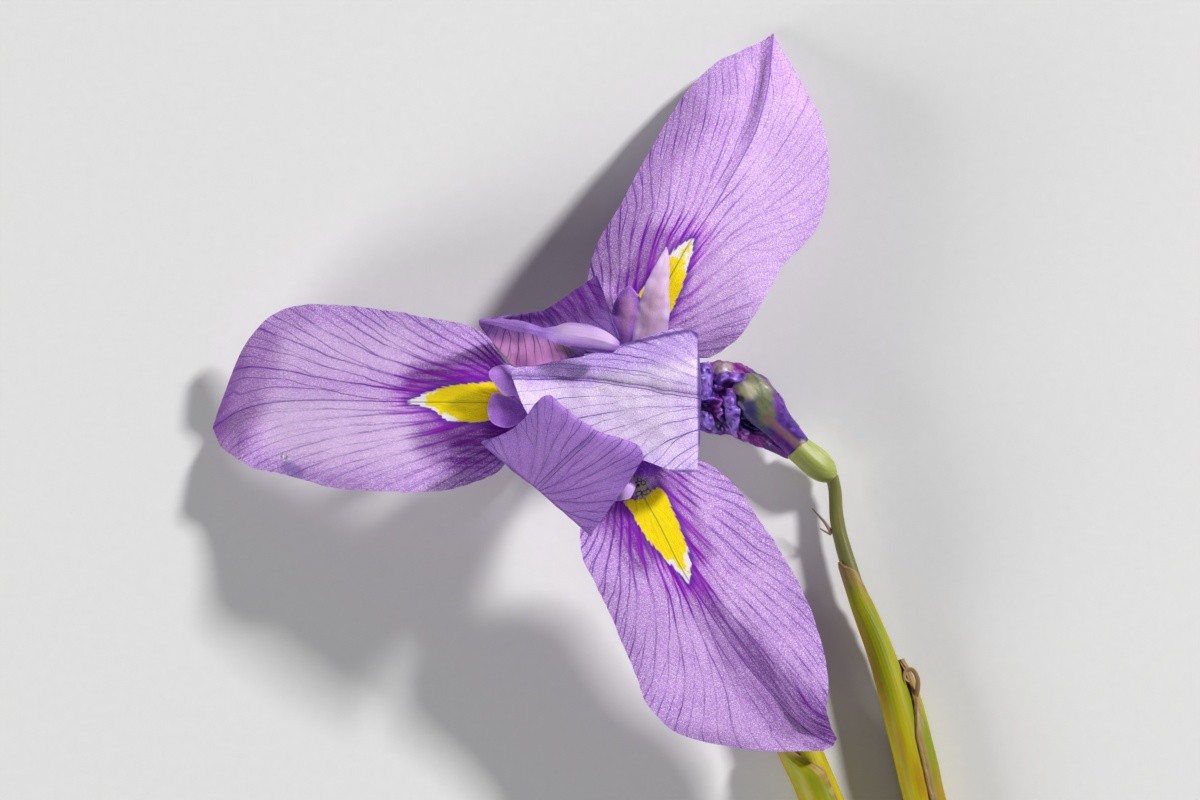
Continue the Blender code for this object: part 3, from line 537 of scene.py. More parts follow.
def ray_vein(run, v, rays):
    """Number of the vein at a place run mm behind the pole of the rays and v mm off the midrib."""
    return rays[0] / (math.pi / 2) * math.atan2(abs(v), max(run, 0.3))


def vein_spacings(grid, numbers):
    """Distance in mm between neighbouring veins at every point of a blade."""
    last, end = len(grid) - 1, len(grid[0]) - 1
    found = []
    for i, line in enumerate(grid):
        for j in range(end + 1):
            rates = []
            for (a, b), (c, d) in (
                ((i, max(j - 1, 0)), (i, min(j + 1, end))),
                ((max(i - 1, 0), j), (min(i + 1, last), j)),
            ):
                length = (grid[c][d] - grid[a][b]).length
                passed = numbers[c * (end + 1) + d] - numbers[a * (end + 1) + b]
                rates.append(passed / max(length, 0.02))
            found.append(min(1 / max(math.hypot(*rates), 0.05), 6.0))
    return found


def distance_to(start, end, x, y):
    """Distance in mm from (x, y) to the line between two places."""
    dx, dy = end[0] - start[0], end[1] - start[1]
    u = min(max(((x - start[0]) * dx + (y - start[1]) * dy) / (dx * dx + dy * dy), 0.0), 1.0)
    return math.hypot(x - start[0] - u * dx, y - start[1] - u * dy)


def mark_values(grid, marks, kinds):
    """How strongly each kind of stain, of painted shade and of painted light lies on each point of a
    piece.
    """
    values = {kind: [] for kind in kinds}
    for line in grid:
        for point in line:
            found = dict.fromkeys(kinds, 0.0)
            for kind, start, end, width, strength in marks:
                away = distance_to(start, end, point.x, point.y)
                if away < width:
                    found[kind] = max(found[kind], strength * (1 - between(0.3 * width, width, away)))
            for kind, numbers in values.items():
                numbers.append(found[kind])
    return values


def stepped(t, half, share, step):
    """Height of the step beside a midrib, which lifts one half above the other."""
    side, height, width, low, high = step
    return height * between(0, width, side * t * half) * between(low, high, share)


def outer_folds(share, t, half, fold):
    """Height of an outer tepal's hollow claw, of the furrow by its midrib and of its margins' waves."""
    hollow = CLAW_HOLLOW * half * t * t * (1 - between(*HOLLOW_FADE, share))
    furrow = fold[1 + (t > 0)] * half * min(abs(t) * FURROW_SLOPE, 1.0)
    furrow *= between(fold[0], FURROW_FADE[0], share)
    furrow *= 1 - between(*FURROW_FADE, share)
    wave = WAVE_HEIGHT * t * t * between(*WAVE_RISE, share) * (1 - between(*WAVE_FADE, share))
    wave *= math.sin(WAVE_COUNT * 2 * math.pi * share + WAVE_STARTS[t > 0])
    return hollow + furrow + wave


def outer_relief(place, number, angle):
    """Height of the ridges over the veins, and of the swells and puckers of the limb. place is a
    point of the tepal, its distance out from the axis and its place across."""
    point, out, t = place
    spot = Vector((point.x, point.y, 0))
    relief = VEIN_RIDGE * math.cos(2 * math.pi * number)
    relief += sum(height * noise.noise(spot / size) for size, height in SWELLS)
    pucker = noise.noise(Vector((number * 0.8, out * 0.45, angle)))
    return relief + PUCKER_HEIGHT * pucker * between(*PUCKERED, abs(t))


def ragged_edge(share, t, angle):
    """How far the margin of an outer tepal stands out from its even line."""
    frill = sum(
        height * noise.noise(Vector((share * count, t * 2 + angle, draw)))
        for count, height, draw in FRILLS
    )
    edge = between(*FRILL_REACH, abs(t)) * between(*FRILL_STARTS, share)
    return frill * edge * (1 - between(*FRILL_ENDS, share))


def outer_tepal(name, angle, limb, tip_z, fold, guide, lift, step, faint, marks, material, node):
    """An outer tepal, from its claw over the crest to its drooping tip. faint is how much its veins
    fade on the counter-clockwise and on the clockwise half."""
    rows = claw_rows(OUTER_CLAW, angle)
    rows += [tuple(Vector((*p, 0)) for p in row) for row in limb]
    midrib = [row[1] for row in rows]
    tip = rows[-1][1].xy
    foot = sum((Vector(p) for p in guide), Vector((0, 0))) / len(guide)
    to_tip = Vector(guide[0]) - foot
    grid, blade, veins, guides, numbers, strengths, rises = [], [], [], [], [], [], []
    for line in blade_lines(rows, OUTER_GRID):
        places = []
        middle = along(midrib, line[0][1]).xy
        for point, share, t, half in line:
            out = middle.length
            number = fan_vein(out, t, half, OUTER_FAN)
            relief = lift[t > 0] * half * abs(t) ** 1.5 + stepped(t, half, share, step)
            relief += outer_relief((point, out, t), number, angle)
            outward = point.xy - middle
            if outward.length > 0.01:
                point.xy += outward.normalized() * ragged_edge(share, t, angle)
            height = limb_height(point.xy.length, tip.length, tip_z) + outer_folds(share, t, half, fold)
            point.z = height + relief * between(*LIMB_STARTS, share) * (1 - between(*TIP_STARTS, share))
            places.append(point)
            blade.append((t * half, out))
            veins.append((math.copysign(number, t), abs(t)))
            guides.append(edge_distance(guide, point.x, point.y))
            numbers.append(number)
            strengths.append(1 - faint[t > 0] * between(0.05, 0.25, abs(t)))
            rises.append((point.xy - foot).dot(to_tip) / to_tip.length_squared)
        grid.append(places)
    maps = {"blade": blade, "veins": veins}
    values = {"guide": guides, "strength": strengths, "toward_tip": rises}
    values["spacing"] = vein_spacings(grid, numbers)
    values.update(mark_values(grid, marks, PETAL_MARK_KINDS))
    piece = grid_piece(name, grid, maps, values)
    apply_modifier(piece, "SOLIDIFY", thickness=PETAL_THICK * MM, offset=0)
    return finish_piece(piece, "tepal_outer", material, node)


def inner_sheet(name, rows, fold_row, rays, step, marks, seed, strength=1.0):
    """A folded inner blade. Its veins spread from a pole ahead of the fold, at row fold_row."""
    midrib = [row[1] for row in rows]
    grid, blade, veins, numbers = [], [], [], []
    run = -sum((b - a).length for a, b in zip(midrib[:fold_row], midrib[1 : fold_row + 1]))
    before = midrib[0]
    for line in blade_lines(rows, INNER_GRID):
        places = []
        middle = along(midrib, line[0][1])
        run += (middle - before).length
        before = middle
        for point, share, t, half in line:
            number = ray_vein(run + rays[1], t * half, rays)
            spot = Vector((point.x, point.y, point.z + seed))
            for size, height, draw in WAVER:
                shifts = [noise.noise(spot / size + Vector((0, 0, k * draw))) for k in range(3)]
                point += Vector(shifts) * height * between(*WAVER_STARTS, share)
            point.z += stepped(t, half, share, step)
            groove = GROOVE[0] * math.exp(-((t * half / GROOVE[1]) ** 2))
            point.z -= groove * between(*GROOVE_STARTS, share)
            point.z += VEIN_RIDGE * math.cos(2 * math.pi * number)
            places.append(point)
            blade.append((t * half, run))
            veins.append((math.copysign(number, t), abs(t)))
            numbers.append(number)
        grid.append(places)
    values = {"spacing": vein_spacings(grid, numbers), "strength": [strength] * len(numbers)}
    values.update(mark_values(grid, marks, PETAL_MARK_KINDS))
    piece = grid_piece(name, grid, {"blade": blade, "veins": veins}, values)
    apply_modifier(piece, "SOLIDIFY", thickness=PETAL_THICK * MM, offset=0)
    return piece


def inner_tepal(name, angle, rows_beyond, rays, step, marks, material, node, lip=None):
    """An inner tepal: its claw, its limb folded back over the bloom and, on one, its curled lip."""
    claw = claw_rows(INNER_CLAW, angle)
    rows = claw + [tuple(Vector(p) for p in row) for row in rows_beyond]
    piece = inner_sheet(name, rows, len(claw) + 1, rays, step, marks, angle)
    if lip:
        rows = [tuple(Vector(p) for p in row) for row in lip]
        lip = inner_sheet("lip", rows, 0, LIP_RAYS, FLAT_STEP, LIP_STAINS_AND_SHADING, angle, LIP_VEINS)
        piece = join(name, [piece, lip])
    return finish_piece(piece, "tepal_inner", material, node)


# Half widths of main veins, first forks and second forks in mm, and how dark each shows.
VEIN_LINES = ((0.06, 1.0), (0.05, 0.85), (0.042, 0.7))
# Tints laid on the petals by the stain tables, from the first laid to the last; some of them paint light
# and shade, and the pink glow is painted light coming through the tissue.
PETAL_TINTS = (("pale", "#F2D6FA"), ("lilac", "#BE86F0"), ("mauve", "#9862B2"), ("lit_glow", "#F8A8E8"))
# What makes up the colour of a petal: (body, deeper patches, margin, vein, painted glint).
OUTER_TONES = ("#DDA8F2", "#BA7CDC", "#AC78D4", "#5A1498", "#FFF4FF")
INNER_TONES = ("#FAE8FF", "#D4A8F6", "#C094F0", "#4C129A", "#FFFCFF")
# The inner tepals that lie in shade take a darker copy of the inner tones: painted shade, with a dimmer
# painted glint.
SHADED_TONES = ("#C08CE0", "#A26ACC", "#9C68CC", "#401A7C", "#E6D0F8")


def read_petal(t, guide):
    """What a petal's skin reads of its blade, by name: its places, its veins and its stains."""
    names = ["spacing", "strength", *PETAL_MARK_KINDS]
    if guide:
        names += ["guide", "toward_tip"]
    on = {name: add(t, "Attribute", attribute_name=name).outputs["Fac"] for name in names}
    on["spot"] = add(t, "TexCoord").outputs["Object"]
    on["blade"] = add(t, "UVMap", uv_map="blade")
    places = add(t, "SeparateXYZ", (on["blade"],))
    veins = add(t, "SeparateXYZ", (add(t, "UVMap", uv_map="veins"),))
    on.update(across=places.outputs["X"], out=places.outputs["Y"])
    on.update(number=veins.outputs["X"], reach=veins.outputs["Y"])
    on["off_middle"] = add(t, "Math", (on["across"],), operation="ABSOLUTE")
    return on


def petal_veins(t, on, swell, fine):
    """How dark each spot is with vein, and the patches in which the veins fade."""
    # Veins wander by a third of a millimetre, over bends of about 7 mm.
    bend = add(t, "TexNoise", {"Vector": on["spot"], "Scale": 140.0, "Detail": 3.0, "Roughness": 0.5})
    bend = add(t, "Math", (bend, 0.5), operation="SUBTRACT")
    bend = add(t, "Math", (bend, 0.75), operation="MULTIPLY")
    bend = add(t, "Math", (bend, on["spacing"]), operation="DIVIDE")
    bend = add(t, "Math", (bend, on["number"]), operation="ADD")
    cell = add(t, "Math", (bend,), operation="FLOOR")
    chance = add(t, "TexWhiteNoise", (cell,), noise_dimensions="1D").outputs["Value"]
    main = add(t, "Math", (bend, 0.5), operation="PINGPONG")
    # A vein forks where its neighbours have drawn apart, and again near the margin.
    crowd = add(t, "MapRange", (on["reach"], 0.5, 1.0, 1.0, 1.5), interpolation_type="SMOOTHSTEP")
    room = add(t, "Math", (on["spacing"], crowd), operation="MULTIPLY")
    room = add(t, "Math", (chance, -0.7, room), operation="MULTIPLY_ADD")
    fork = add(t, "MapRange", (room, 0.6, 1.9, 0.0, 0.5), interpolation_type="SMOOTHSTEP")
    place = add(t, "Math", (bend,), operation="FRACT")
    first = add(t, "Math", (place, fork), operation="SUBTRACT")
    first = add(t, "Math", (first,), operation="ABSOLUTE")
    twice = add(t, "Math", (bend, 2.0), operation="MULTIPLY")
    cell = add(t, "Math", (twice,), operation="FLOOR")
    chance = add(t, "TexWhiteNoise", (cell,), noise_dimensions="1D").outputs["Value"]
    twice = add(t, "Math", (twice,), operation="FRACT")
    room = add(t, "Math", (chance, -0.8, room), operation="MULTIPLY_ADD")
    fork = add(t, "MapRange", (room, 1.3, 2.8, 0.0, 0.5), interpolation_type="SMOOTHSTEP")
    second = add(t, "Math", (twice, fork), operation="SUBTRACT")
    second = add(t, "Math", (second,), operation="ABSOLUTE")
    second = add(t, "Math", (second, 0.5), operation="MULTIPLY")
    hidden = add(t, "MapRange", (room, 1.25, 1.45, 3.0, 0.0))
    second = add(t, "Math", (second, hidden), operation="ADD")
    lines = []
    for distance, (width, weight) in zip((main, first, second), VEIN_LINES):
        width *= fine
        distance = add(t, "Math", (distance, on["spacing"]), operation="MULTIPLY")
        distance = add(t, "Math", (distance, swell), operation="DIVIDE")
        lines.append(add(t, "MapRange", (distance, width * 0.5, width * 1.7, weight, 0.0)))
    line = add(t, "Math", (lines[0], lines[1]), operation="MAXIMUM")
    line = add(t, "Math", (line, lines[2]), operation="MAXIMUM")
    # Sap tints the skin within 0.4 mm of each vein.
    soft = add(t, "Math", (main, on["spacing"]), operation="MULTIPLY")
    soft = add(t, "MapRange", (soft, 0.05, 0.4, 0.15, 0.0), interpolation_type="SMOOTHSTEP")
    # Veins fade and darken again along their way, every 4 mm or so.
    patch = patches(t, on["spot"], 260.0, 2.0, (0.34, 0.62, 0.3, 0.95))
    line = add(t, "Math", (line, patch), operation="MULTIPLY")
    line = add(t, "Math", (line, soft), operation="MAXIMUM")
    return add(t, "Math", (line, on["strength"]), operation="MULTIPLY"), patch


def petal_midrib(t, on, patch, doubled):
    """The midrib, the strongest vein. On an inner tepal it is two lines, 0.2 mm off the middle."""
    from_rib, rib_edge = on["off_middle"], 0.12
    if doubled:
        from_rib = add(t, "Math", (from_rib, 0.2), operation="SUBTRACT")
        from_rib = add(t, "Math", (from_rib,), operation="ABSOLUTE")
        rib_edge = 0.08
    midrib = add(t, "MapRange", (from_rib, 0.02, rib_edge, 0.95, 0.0), interpolation_type="SMOOTHSTEP")
    clear = add(t, "Math", (patch, 0.8), operation="MAXIMUM")
    clear = add(t, "Math", (clear, on["strength"]), operation="MULTIPLY")
    return add(t, "Math", (midrib, clear), operation="MULTIPLY")


def petal_ground(t, on, banding, cells, tones, glitter, mottle):
    """Ground colour: pale and deeper patches 8 mm wide, streaks that run with the veins, a cooler,
    deeper margin, painted shade between the cells, and the tints of the marks, painted light and shade
    among them."""
    body, varied, margin = tones
    broad = patches(t, on["spot"], 130.0, 5.0, (0.36, 0.68, 0.0, 0.7 * mottle))
    colour = add(t, "Mix", (broad, body, varied), data_type="RGBA")
    banded = add(t, "MapRange", (banding, 0.4, 0.66, 0.0, 0.6 * mottle))
    colour = add(t, "Mix", (banded, colour, varied), data_type="RGBA")
    edge = add(t, "MapRange", (on["reach"], 0.7, 1.0, 0.0, 0.6), interpolation_type="SMOOTHSTEP")
    colour = add(t, "Mix", (edge, colour, margin), data_type="RGBA")
    # Painted shade between the dome cells.
    grain = add(t, "MapRange", (cells, 0.3, 0.52, 0.75 * glitter, 0.0))
    colour = add(t, "Mix", (grain, colour, varied), data_type="RGBA")
    for kind, tint in PETAL_TINTS:
        colour = add(t, "Mix", (on[kind], colour, linear(tint)), data_type="RGBA")
    return colour


def deep_violet(t, on):
    """How much deep violet lies in streaks by the claw, and beside the midrib of a furrowed blade; in
    places it is painted shadow and painted shade.
    """
    streaks = patches(t, on["blade"], (2.2, 0.16), 4.0, (0.36, 0.6, 0.66, 1.12))
    beside = add(t, "MapRange", (on["across"], -0.14, 0.02, 1.0, 0.0))
    deep = add(t, "Math", (on["furrow"], beside), operation="MULTIPLY")
    deep = add(t, "Math", (deep, on["deep"]), operation="MAXIMUM")
    return add(t, "Math", (deep, streaks), operation="MULTIPLY", use_clamp=True)


def bare_throat(t, on, colour):
    """Bare cream throat, with dark ring-shaped dots 0.4 mm wide, and a dusky olive-brown patch painted as
    shade in a gap.
    """
    rings = add(t, "TexVoronoi", {"Vector": on["spot"], "Scale": 1900.0})
    rings = add(t, "Math", (rings.outputs["Distance"], 0.42), operation="SUBTRACT")
    rings = add(t, "Math", (rings,), operation="ABSOLUTE")
    rings = add(t, "MapRange", (rings, 0.04, 0.16, 1.0, 0.0))
    throat = add(t, "Mix", (rings, linear("#C9BDA0"), linear("#4B3A50")), data_type="RGBA")
    colour = add(t, "Mix", (on["bare"], colour, throat), data_type="RGBA")
    return add(t, "Mix", (on["gap_shade"], colour, linear("#77604A")), data_type="RGBA")


def nectar_guide(t, on, flow, colour):
    """The yellow patch. Ragged teeth of white hairs edge it, and run deepest at its tip."""
    teeth = add(t, "VectorMath", (flow, (2.4, 3.2, 1.0)), operation="MULTIPLY")
    ragged = add(t, "TexNoise", {"Vector": teeth, "Scale": 1.0, "Detail": 5.0})
    ragged = add(t, "Math", (ragged, 0.5), operation="SUBTRACT")
    ragged = add(t, "Math", (ragged, 0.8, on["guide"]), operation="MULTIPLY_ADD")
    mask = add(t, "MapRange", (ragged, -0.1, 0.04, 0.0, 1.0), interpolation_type="SMOOTHSTEP")
    rim = add(t, "MapRange", (on["toward_tip"], 0.3, 0.85, 0.0, 1.0), interpolation_type="SMOOTHSTEP")
    # The white stands in blotches 0.7 mm wide.
    blotch = patches(t, on["spot"], 1500.0, 3.0, (0.38, 0.62, 0.15, 1.4))
    rim = add(t, "Math", (rim, on["white"]), operation="MAXIMUM")
    rim = add(t, "Math", (rim, blotch), operation="MULTIPLY")
    yellow = add(t, "Math", (ragged, rim), operation="SUBTRACT")
    yellow = add(t, "MapRange", (yellow, -0.2, 0.02, 0.0, 1.0), interpolation_type="SMOOTHSTEP")
    # Tufts of hairs 0.4 mm wide shade the yellow.
    hairs = add(t, "TexNoise", {"Vector": on["spot"], "Scale": 2400.0, "Detail": 3.0})
    gold = add(t, "Mix", (hairs, linear("#FFD200"), linear("#FFF400")), data_type="RGBA")
    patch = add(t, "Mix", (yellow, linear("#F6F2F2"), gold), data_type="RGBA")
    seam = add(t, "MapRange", (on["off_middle"], 0.0, 0.1, 0.75, 0.0), interpolation_type="SMOOTHSTEP")
    patch = add(t, "Mix", (seam, patch, linear("#6E7A1E")), data_type="RGBA")
    return add(t, "Mix", (mask, colour, patch), data_type="RGBA")


def bruise_and_nick(t, on, colour):
    """The left tepal's bruise, and the dry nick beside it, torn in shreds 0.4 mm wide."""
    colour = add(t, "Mix", (on["bruise"], colour, linear("#6A4FA8")), data_type="RGBA")
    torn = patches(t, on["spot"], 2600.0, 4.0, (0.4, 0.58, 0.0, 1.0))
    torn = add(t, "Mix", (torn, linear("#3E2460"), linear("#F2ECF4")), data_type="RGBA")
    return add(t, "Mix", (on["nick"], colour, torn), data_type="RGBA")


def petal_skin(
    name, tones, guide=False, double_midrib=False, thin=0.15, glitter=1.0, fine=1.0, mottle=1.0
):
    """Living petal skin: a velvety surface of dome-shaped cells, each with a painted glint so that
    the petal sparkles, and sap-filled veins run through it as fine dark forked lines."""
    *ground_tones, vein, glint = (linear(tone) for tone in tones)
    made, t = new_material(name)
    on = read_petal(t, guide)
    swell = 1.0
    if guide:
        # Within 7 mm of the guide, dye swells the veins.
        outside = add(t, "Math", (on["guide"], -1.0), operation="MULTIPLY")
        near = add(t, "MapRange", (outside, 0.0, 7.0, 1.0, 0.0), interpolation_type="SMOOTHSTEP")
        swell = add(t, "Math", (near, 0.9, 1.0), operation="MULTIPLY_ADD")
    line, patch = petal_veins(t, on, swell, fine)
    line = add(t, "Math", (line, petal_midrib(t, on, patch, double_midrib)), operation="MAXIMUM")
    flow = add(t, "CombineXYZ", (on["number"], on["out"], 0.0))
    flow = add(t, "VectorMath", (flow, (1.5, 0.22, 1.0)), operation="MULTIPLY")
    banding = add(t, "TexNoise", {"Vector": flow, "Scale": 1.0, "Detail": 5.0})
    # Dome cells 0.09 mm wide: painted shade between them, and a painted glint on each.
    cells = add(t, "TexNoise", {"Vector": on["spot"], "Scale": 11000.0, "Detail": 1.0})
    colour = petal_ground(t, on, banding, cells, ground_tones, glitter, mottle)
    deep = deep_violet(t, on)
    colour = add(t, "Mix", (deep, colour, linear("#6A1C8E")), data_type="RGBA")
    depth = add(t, "Math", (line, 0.94), operation="MULTIPLY")
    # Painted glints are quiet where the skin is dark.
    quiet = add(t, "Math", (deep, -0.75, 1.0), operation="MULTIPLY_ADD")
    quiet = add(t, "Math", (on["mauve"], -0.5, quiet), operation="MULTIPLY_ADD")
    quiet = add(t, "Math", (quiet, depth), operation="SUBTRACT", use_clamp=True)
    if guide:
        # Dye bleeds 3 mm from the guide in magenta streaks along the veins, with a violet halo of
        # 1 mm at its edge.
        wash = add(t, "MapRange", (outside, 0.0, 3.0, 0.95, 0.0), interpolation_type="SMOOTHSTEP")
        ahead = add(t, "MapRange", (on["toward_tip"], -0.5, 0.5, 0.35, 1.0))
        wash = add(t, "Math", (wash, ahead), operation="MULTIPLY")
        streaks = patches(t, flow, (3.0, 0.7), 4.0, (0.44, 0.6, 0.1, 1.15), smooth=True)
        wash = add(t, "Math", (wash, streaks), operation="MULTIPLY", use_clamp=True)
        colour = add(t, "Mix", (wash, colour, linear("#B000D0")), data_type="RGBA")
        halo = add(t, "MapRange", (outside, 0.0, 1.0, 0.8, 0.0), interpolation_type="SMOOTHSTEP")
        colour = add(t, "Mix", (halo, colour, linear("#5410A4")), data_type="RGBA")
        vein = add(t, "Mix", (near, vein, linear("#8A02B8")), data_type="RGBA")
        deeper = add(t, "Math", (near, 0.35, 1.0), operation="MULTIPLY_ADD")
        depth = add(t, "Math", (depth, deeper), operation="MULTIPLY", use_clamp=True)
        quiet = add(t, "Math", (quiet, wash), operation="SUBTRACT")
        quiet = add(t, "Math", (quiet, halo), operation="SUBTRACT", use_clamp=True)
    colour = add(t, "Mix", (depth, colour, vein), data_type="RGBA")
    # Painted highlights: every cell has a painted glint, and some, 0.14 mm wide, sparkle.
    specks = add(t, "MapRange", (cells, 0.5, 0.72, 0.0, glitter))
    sparks = patches(t, on["spot"], 7000.0, 0.0, (0.64, 0.74, 0.0, 0.45 * glitter))
    specks = add(t, "Math", (specks, sparks), operation="MAXIMUM")
    specks = add(t, "Math", (specks, quiet), operation="MULTIPLY")
    colour = add(t, "Mix", (specks, colour, glint), data_type="RGBA")
    # Painted shade: a dark line along the folded edges and margins of the inner tepals, where the tissue
    # turns away from the light.
    colour = add(t, "Mix", (on["hem"], colour, linear("#4E2088")), data_type="RGBA")
    colour = bare_throat(t, on, colour)
    if guide:
        colour = bruise_and_nick(t, on, nectar_guide(t, on, flow, colour))
    # Relief: domes, quilting that runs with the veins, and a groove at each vein.
    quilt = add(t, "Math", (banding, 1.6, cells), operation="MULTIPLY_ADD")
    quilt = add(t, "Math", (line, -0.6, quilt), operation="MULTIPLY_ADD")
    bump = add(t, "Bump", {"Height": quilt, "Strength": 0.6, "Distance": 0.00009})
    sockets = {"Roughness": 0.45, "IOR": 1.4, "Specular IOR Level": 0.28}
    sockets.update({"Sheen Weight": 0.05, "Sheen Roughness": 0.35, "Sheen Tint": linear("#F0DCFF")})
    return finish_skin(made, colour, bump, sockets, thin)


def build_bloom():
    """The six tepals of the open bloom."""
    outer = petal_skin("outer petal skin", OUTER_TONES, guide=True)
    inner = petal_skin("inner petal skin", INNER_TONES, double_midrib=True, fine=0.75, mottle=0.45)
    # The lower and upper inner tepals take the darker copy as painted shade, with fewer painted glints.
    shaded = petal_skin(
        "shaded inner petal skin", SHADED_TONES, double_midrib=True, thin=0.35, glitter=0.45, fine=0.75
    )
    outer_tepal("petal_left", LEFT_CLAW, LEFT_LIMB, LEFT_TIP_Z, LEFT_FURROW, LEFT_GUIDE,
                LEFT_LIFT, LEFT_STEP, (0.35, 0.0), LEFT_STAINS_AND_SHADING, outer, "outer_tepal_left")
    outer_tepal("petal_upper", UPPER_CLAW, UPPER_LIMB, UPPER_TIP_Z, UPPER_FURROW, UPPER_GUIDE,
                UPPER_LIFT, UPPER_STEP, (0.0, 0.45), UPPER_STAINS_AND_SHADING, outer, "outer_tepal_upper")
    outer_tepal("petal_lower", LOWER_CLAW, LOWER_LIMB, LOWER_TIP_Z, LOWER_FURROW, LOWER_GUIDE,
                LOWER_LIFT, LOWER_STEP, (0.1, 0.1), LOWER_STAINS_AND_SHADING, outer, "outer_tepal_lower")
    inner_tepal("folded_petal_right", RIGHT_INNER, RIGHT_BLADE, RIGHT_RAYS, RIGHT_BLADE_STEP,
                RIGHT_INNER_STAINS_AND_SHADING, inner, "inner_tepal_right")
    inner_tepal("folded_petal_lower", LOWER_INNER, LOWER_BLADE, LOWER_RAYS, FLAT_STEP,
                LOWER_INNER_STAINS_AND_SHADING, shaded, "inner_tepal_lower")
    inner_tepal("folded_petal_upper", UPPER_INNER, UPPER_BLADE, UPPER_RAYS, FLAT_STEP,
                UPPER_INNER_STAINS_AND_SHADING, shaded, "inner_tepal_upper", lip=UPPER_LIP)


STYLE_FOOT_Z, STYLE_TOP_Z, STYLE_RADIUS = 5.9, 11.0, 0.55
STYLE_BRANCH = ((0.2, 0.5, 10.3), (2.4, 1.0, 12.0), (5.0, 1.6, 13.8), (7.4, 1.9, 15.0))
STYLE_THICK = 0.2
# Crests of the style: rows of one edge, the middle and the other edge, as (x, y, z).
CRESTS = {
    "left_a": (
        ((-6.4, 2.2, 14.2), (-6.4, 1.3, 14.7), (-6.4, 0.5, 14.6)),
        ((-8.0, 3.0, 14.9), (-8.1, 1.7, 15.5), (-8.2, 0.4, 15.2)),
        ((-9.2, 3.4, 15.4), (-9.3, 2.0, 15.9), (-9.3, 0.4, 15.4)),
        ((-10.3, 3.2, 15.8), (-10.3, 2.4, 16.1), (-10.2, 1.3, 15.6)),
        ((-10.9, 2.8, 16.1), (-11.0, 2.6, 16.1), (-10.8, 2.3, 15.9)),
    ),
    "left_b": (
        ((-6.4, -0.4, 14.6), (-6.4, -1.2, 14.6), (-6.4, -2.0, 14.2)),
        ((-8.0, -0.1, 15.1), (-8.0, -1.3, 15.3), (-8.0, -2.4, 14.9)),
        ((-9.4, 0.3, 15.4), (-9.4, -1.3, 15.8), (-9.2, -2.8, 15.0)),
        ((-10.3, 0.7, 15.6), (-10.5, -0.9, 15.9), (-10.3, -2.5, 15.2)),
        ((-10.8, 0.2, 15.7), (-11.1, -0.8, 15.8), (-10.9, -1.8, 15.5)),
    ),
    "upper_a": (
        ((1.8, 5.6, 14.2), (2.5, 5.7, 14.5), (3.1, 5.6, 14.4)),
        ((1.4, 7.2, 15.0), (2.5, 7.3, 15.4), (3.6, 7.2, 15.1)),
        ((1.3, 8.9, 15.7), (2.7, 9.0, 16.1), (4.1, 8.9, 15.7)),
        ((1.9, 10.3, 16.2), (2.9, 10.35, 16.5), (3.9, 10.2, 16.1)),
        ((2.8, 11.25, 16.4), (2.95, 11.3, 16.5), (3.1, 11.2, 16.4)),
    ),
    "upper_b": (
        ((3.2, 5.6, 14.6), (4.8, 5.4, 14.9), (6.5, 5.4, 14.4)),
        ((3.5, 8.2, 15.6), (5.2, 8.2, 15.9), (6.75, 8.2, 15.5)),
        ((4.1, 10.2, 16.3), (5.5, 10.3, 16.6), (6.8, 10.4, 16.3)),
        ((4.9, 12.3, 16.9), (5.95, 12.4, 17.1), (6.8, 12.6, 16.9)),
        ((5.85, 14.0, 17.2), (6.35, 14.1, 17.35), (6.75, 14.2, 17.2)),
        ((6.5, 15.1, 17.35), (6.55, 15.15, 17.35), (6.6, 15.1, 17.35)),
    ),
    "lower_a": (
        ((4.2, -4.9, 14.2), (3.5, -5.3, 14.8), (2.9, -5.5, 14.6)),
        ((5.6, -5.8, 14.8), (4.5, -6.2, 15.5), (3.4, -6.7, 15.0)),
        ((6.2, -6.7, 15.2), (5.0, -7.0, 15.9), (3.6, -7.5, 15.3)),
        ((5.6, -7.5, 15.5), (4.9, -7.7, 15.8), (4.2, -7.8, 15.5)),
    ),
    "lower_b": (
        ((2.5, -5.8, 14.6), (1.8, -6.1, 14.8), (1.1, -6.4, 14.2)),
        ((3.2, -7.3, 15.1), (2.1, -7.7, 15.6), (0.9, -8.1, 14.9)),
        ((3.6, -8.6, 15.5), (2.4, -8.9, 16.0), (1.2, -9.4, 15.3)),
        ((3.1, -9.7, 15.8), (2.4, -9.9, 15.9), (1.6, -10.0, 15.7)),
    ),
}

# Waves of the crests, as (size, height).
CREST_WAVES = ((2.2, 0.4), (0.8, 0.1))
# How pale each crest is, and how far a tan-pink glow fills it.
CREST_TONES = {
    "left_a": (0.3, 0.0),
    "left_b": (0.2, 0.0),
    "upper_a": (0.15, 0.6),
    "upper_b": (1.0, 0.35),
    "lower_a": (0.0, 0.0),
    "lower_b": (0.6, 0.0),
}

SLEEVE_INNER, SLEEVE_OUTER, SLEEVE_TOP_Z = 0.85, 1.15, 8.2
# An anther on its filament, as (distance from the axis, height, half width, half depth).
ANTHER = (
    (1.05, 7.9, 0.42, 0.3),
    (2.3, 9.3, 0.35, 0.3),
    (3.5, 11.3, 0.8, 0.32),
    (6.6, 13.1, 0.6, 0.25),
)
# Depth of the furrow between an anther's sacs and of an ovary's seams, as shares of the radius.
ANTHER_FURROW, OVARY_SEAM = 0.28, 0.04

PEDICEL_RADIUS = 0.65
